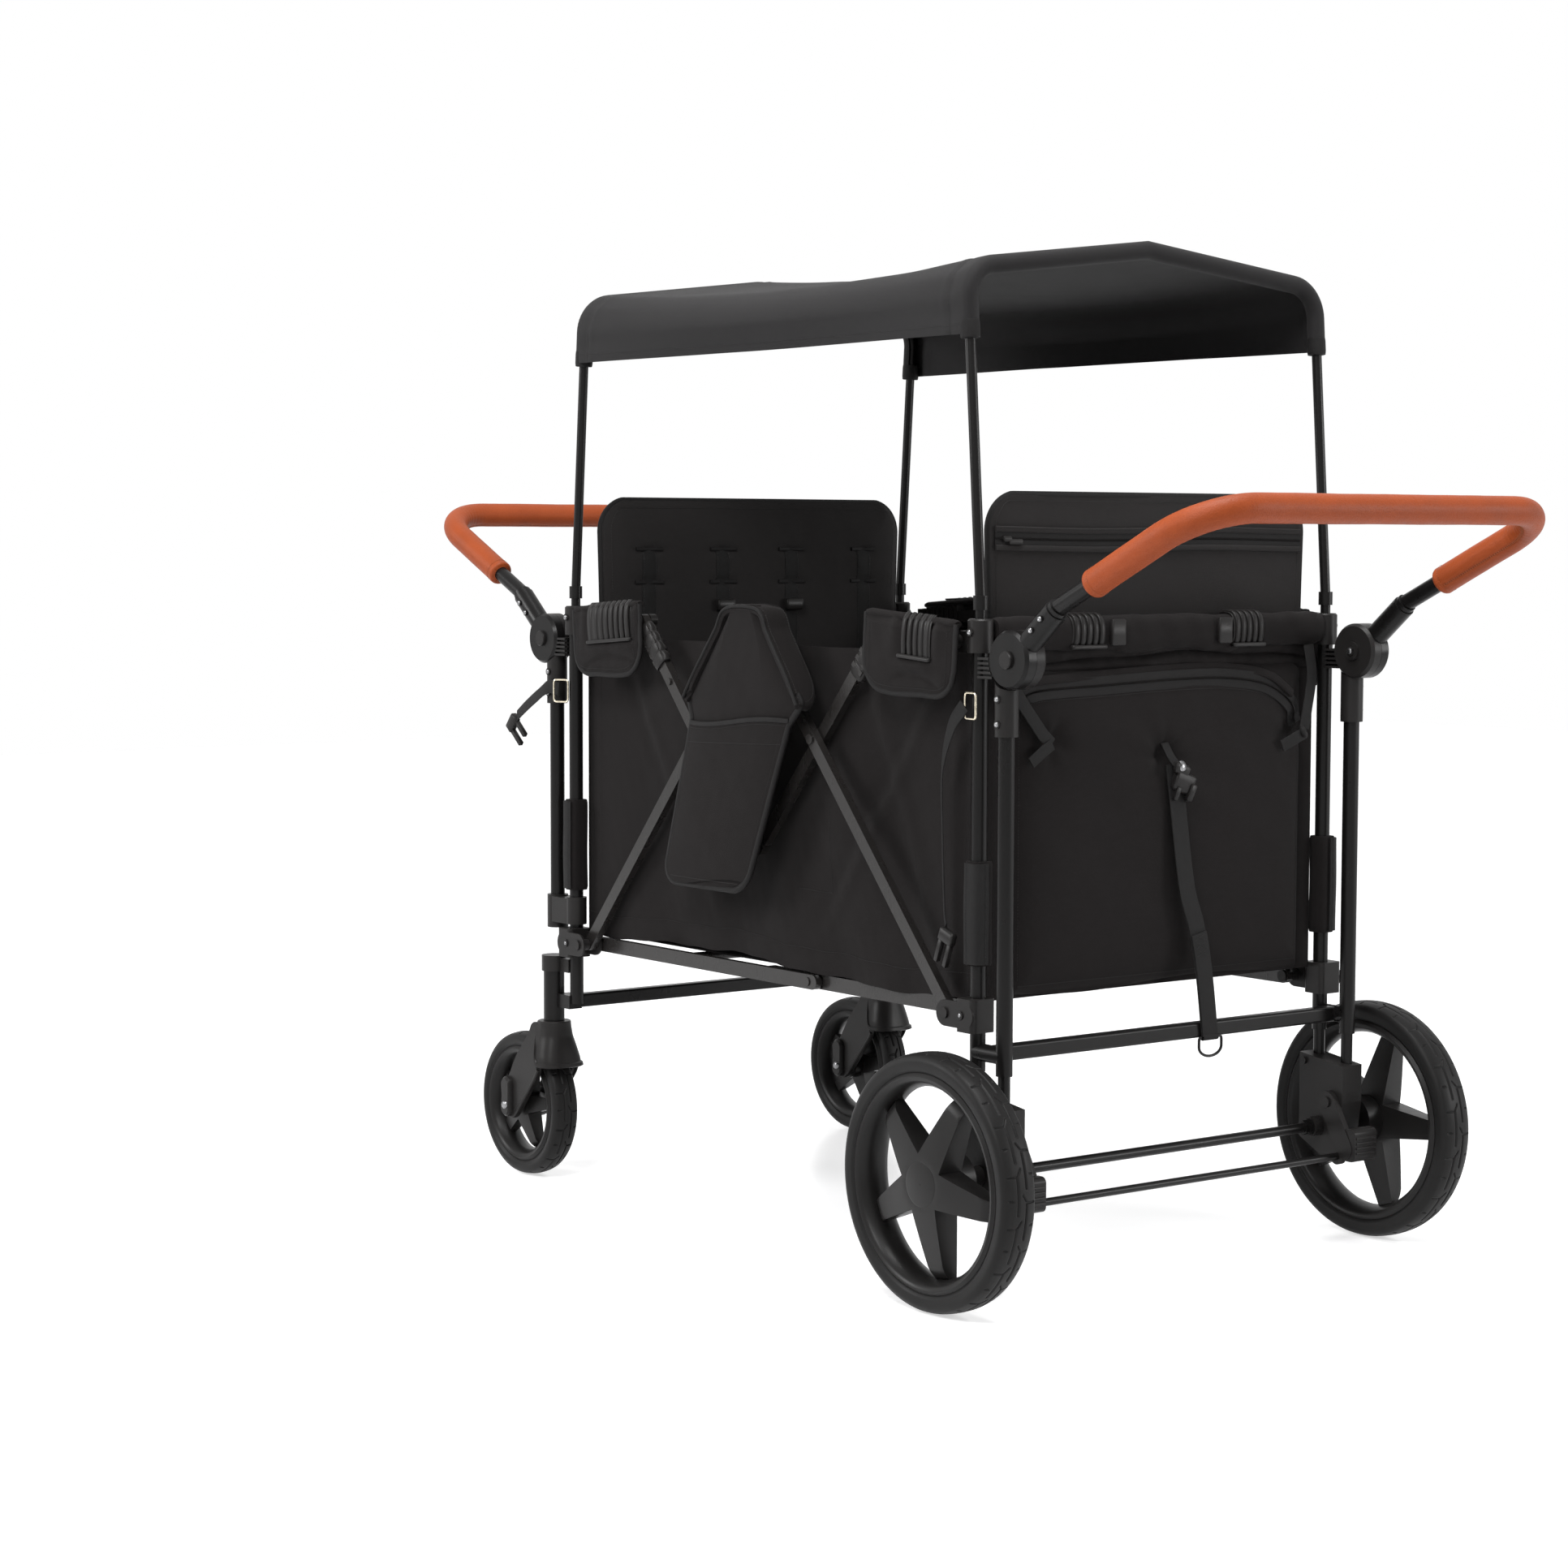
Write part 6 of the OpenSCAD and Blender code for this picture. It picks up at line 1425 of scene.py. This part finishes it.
def hood(stem):
    """The rings from the neck down to the lip, over it and up inside; the lip's depth eases round the stem."""
    turn = np.linspace(0, 2 * np.pi, 96, endpoint=False)
    ease = np.clip((0.5 - np.cos(turn)) / 0.75, 0, 1)
    edge = 0.017 + 0.043 * ease ** 2 * (3 - 2 * ease)
    steps = [(0 * edge, -0.005), (0 * edge, -0.001), (0.001 + 0 * edge, 0)]
    steps += [(s * (edge - 0.006), 0) for s in np.linspace(0.08, 1, 22)]
    steps += [(edge - 0.0045, 0.0020), (edge - 0.0005, 0.0022), (edge + 0.0006, 0.0004), (edge - 0.001, -0.0045)]
    steps += [(0.012 + s * (edge - 0.014), -0.0052) for s in (0.8, 0.5, 0.2, 0.0)]
    return grid(np.stack([hood_ring(stem, turn, drop, grow) for drop, grow in steps]), True, True)


print("hoods", round(2 * float(FORK_WIDE.max()), 4), "m wide")

# %% Caster forks
def plate(stem, outline, inner, outer, bevel):
    """A cheek: an outline of y and z between two places along the axle, its outer edge drawn in by a bevel."""
    small = outline + bevel * unit(outline.mean(axis=0) - outline)
    levels = [(inner, outline), (outer - np.sign(outer) * bevel, outline), (outer, small)]
    return grid(np.stack([np.c_[x + 0 * line[:, 0], line] for x, line in levels]) + stem, True, True)


def fork(name):
    """A hood, two cheeks with a thick pill at the axle, a bead under each, and the steel axle with its bolts."""
    axle = wheel_size(f"caster_tyre_{name}")[0]
    stem = np.array([axle[0], axle[1] - TRAIL, 2 * axle[2] + 0.0225])
    cheek = curve(np.c_[CHEEK, 0 * CHEEK[:, 0]], 120)[:-1, :2] - [0, stem[2]]
    lower = curve([(0, -0.008, -0.0640), (0, -0.002, -0.0735), (0, 0.020, -0.0995), (0, 0.048, -0.1310)], 30)
    a = np.linspace(0, 2 * np.pi, 40, endpoint=False)
    rise = 0.108 + 0.0175 * np.sign(np.sin(a)) + 0.0098 * np.sin(a) - stem[2]
    pill = np.stack([0.064 + 0.0098 * np.cos(a), rise], 1)
    parts, bolts = [hood(stem)], []
    for way in (-1, 1):
        reach = way * np.minimum(np.interp(-cheek[:, 1], FORK_DROP, FORK_WIDE), 0.032)
        parts.append(plate(stem, cheek, way * np.minimum(0.0243, np.abs(reach) - 0.004), reach, 0.0012))
        parts.append(plate(stem, pill, way * 0.031, way * 0.0395, 0.0030))
        parts.append(sweep(stem + lower + [way * 0.0312, 0, 0], circle(0.0022, 10), (1, 0, 0)))
        tip = axle + np.outer([way * 0.036, way * 0.0415, way * 0.043], [1, 0, 0])
        bolts.append(rod(tip, [0.0052, 0.0052, 0.0038], (0, 0, 1), 18))
    made = build(f"fork_{name}_hood", parts, PLASTIC, f"fork_{name}", 38)
    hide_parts(f"fork_{name}")
    pin = axle + np.outer([-0.034, 0, 0.034], [1, 0, 0])
    build(f"fork_{name}_axle", bolts + [sweep(pin, circle(0.004, 16), (0, 0, 1))], STEEL, f"fork_{name}")


for _, name in SIDES:
    fork(name)
print("two caster forks")

# %% [markdown]
# ## Rubber boots and screws
# Ribbed rubber boots cover the upper ends of the braces. Rings could be set on a tube one by one; an oval section
# swept down the brace, swelling into rings, is one closed skin. Small steel screws sit on the moulded heads of the
# brackets, hinges and handle sockets, each a few turned rings.

# %% Boots
KNEE, BRACE = (0.238, 0.757), np.radians(49.05)
BOOT_TOP, BOOT_END, BOOT_RING = 0.011, 0.074, 0.0158


def boot(end, x0, x1):
    """Both boots of one end of the wagon: four rings from the knee down, between two places across the wagon."""
    run = np.linspace(BOOT_TOP, BOOT_END, 70)
    ring = 0.86 + 0.14 * np.abs(np.sin(np.pi * (run - BOOT_TOP) / BOOT_RING)) ** 0.45
    oval = circle(1.0, 28)
    oval = oval * (np.abs(oval) ** 3).sum(axis=1, keepdims=True) ** (-1 / 3)
    y, z = end * (KNEE[0] - run * np.cos(BRACE)), KNEE[1] - run * np.sin(BRACE)
    shape = oval[None] * ring[:, None, None] * [0.0135, (x1 - x0) / 2]
    return [sweep(np.stack([np.full(70, side * (x0 + x1) / 2), y, z], 1), shape, (1, 0, 0)) for side in (-1, 1)]


build("boots_rear", boot(-1, 0.2665, 0.2800), PLASTIC, "brace_rear")
build("boots_front", boot(1, 0.2802, 0.2945), PLASTIC, "brace_front")
print("rubber boots at both ends")

# %% Screws
HINGE, ARM_RISE = (0.476, 0.728), np.radians(40)  # the handles' hinges along the wagon and up, and their arms' angle


def screw(at, way, r=0.0031):
    """A button head with a hex socket: five turned rings, the last one sunk."""
    way = unit(np.array(way, float))
    path = np.array(at) + np.outer([-0.0006, 0.0006, 0.0014, 0.0016, 0.0008], way)
    return rod(path, np.array([1.0, 0.98, 0.7, 0.45, 0.40]) * r, np.roll(way, 1), 12)


for end, body, arm in ((-1, "rear_frame", "rear_handle"), (1, "front_frame", "front_handle")):
    spots = [(0.2909, 0.414, 0.757), (0.2953, 0.408, 0.326)]
    heads = [screw((side * x, end * y, z), (side, 0, 0)) for x, y, z in spots for side in (-1, 1)]
    heads += [screw((side * 0.2891, end * 0.460, z), (side, 0, 0)) for side in (-1, 1) for z in (0.656, 0.684)]
    heads += [screw((side * 0.2510, end * HINGE[0], HINGE[1]), (-side, 0, 0), 0.0042) for side in (-1, 1)]
    build(f"screws_{body}", heads, STEEL, body)
    spots = [(HINGE[0] + k * np.cos(ARM_RISE), HINGE[1] + k * np.sin(ARM_RISE)) for k in (0.052, 0.072)]
    heads = [screw((side * 0.2894, end * y, z), (side, 0, 0)) for side in (-1, 1) for y, z in spots]
    build(f"screws_{arm}", heads, STEEL, arm)
print("screws on the frames and handles")

# %% [markdown]
# ## Keeper straps
# Two short straps on the left side keep the folded wagon together. They hang free from wire rings sewn to the posts
# and end in a clip. They could be simulated, but straps this short hang in a line that a few points give. The rim's
# small clips are fixed trim.

# %% Keeper straps
def keeper(name, points, tip, turn, ring_at, ring_way, body):
    """A strap through points, a clip at its end, and the squared wire ring that it hangs from."""
    path = curve(points, 50)
    twist = np.clip(np.linspace(0, 3, 50), 0, 1)[:, None] * [0.2, 0.6, 0] + [-1, 0, 0]
    made = build(name, [sweep(path, band(0.018, 0.0016), twist)], WEB, body)
    axes = np.array([[1, 0, 0], [0, np.cos(turn), np.sin(turn)], [0, -np.sin(turn), np.cos(turn)]])
    prongs = [block(np.array(tip), (0.009, 0.024, 0.016), 0.002, axes)]
    prongs += [block(np.array(tip) + axes[2] * -0.020 + axes[1] * across, (0.006, 0.006, 0.030), 0.0015, axes)
               for across in (0.008, -0.008)]
    clip = build(f"{name}_clip", prongs, PLASTIC, body)
    wire = loop(ring_at, 0.0105 * unit(np.array(ring_way, float)), (0, 0, 0.0145), 0.0013, 0.25, 0.25)
    wires = build(f"{name}_ring", [wire], BRASS, body)
    length = length_of(path)
    return length


near = keeper("keeper_rear", [(-0.2895, -0.405, 0.675), (-0.2905, -0.384, 0.650), (-0.2885, -0.366, 0.600),
                              (-0.2875, -0.366, 0.520), (-0.2875, -0.370, 0.440), (-0.2880, -0.374, 0.424)],
              (-0.2895, -0.378, 0.412), np.radians(20), (-0.2890, -0.415, 0.675), (0.1, 1, 0), "rear_frame")
far = keeper("keeper_front", [(-0.2905, 0.430, 0.662), (-0.2910, 0.455, 0.664), (-0.2910, 0.485, 0.650),
                              (-0.2905, 0.515, 0.634), (-0.2900, 0.535, 0.622)],
             (-0.2900, 0.546, 0.612), np.radians(-50), (-0.2900, 0.426, 0.660), (-0.5, 0.86, 0), "front_frame")
clips = [block((x, -0.4330, ROLL_Z), (0.021, 0.0055, 0.031), 0.0016) for x in (-0.0835, 0.0865)]
build("rear_roll_clips", clips, PLASTIC, "rear_frame")
print("keeper straps", round(near, 3), "and", round(far, 3), "m long")
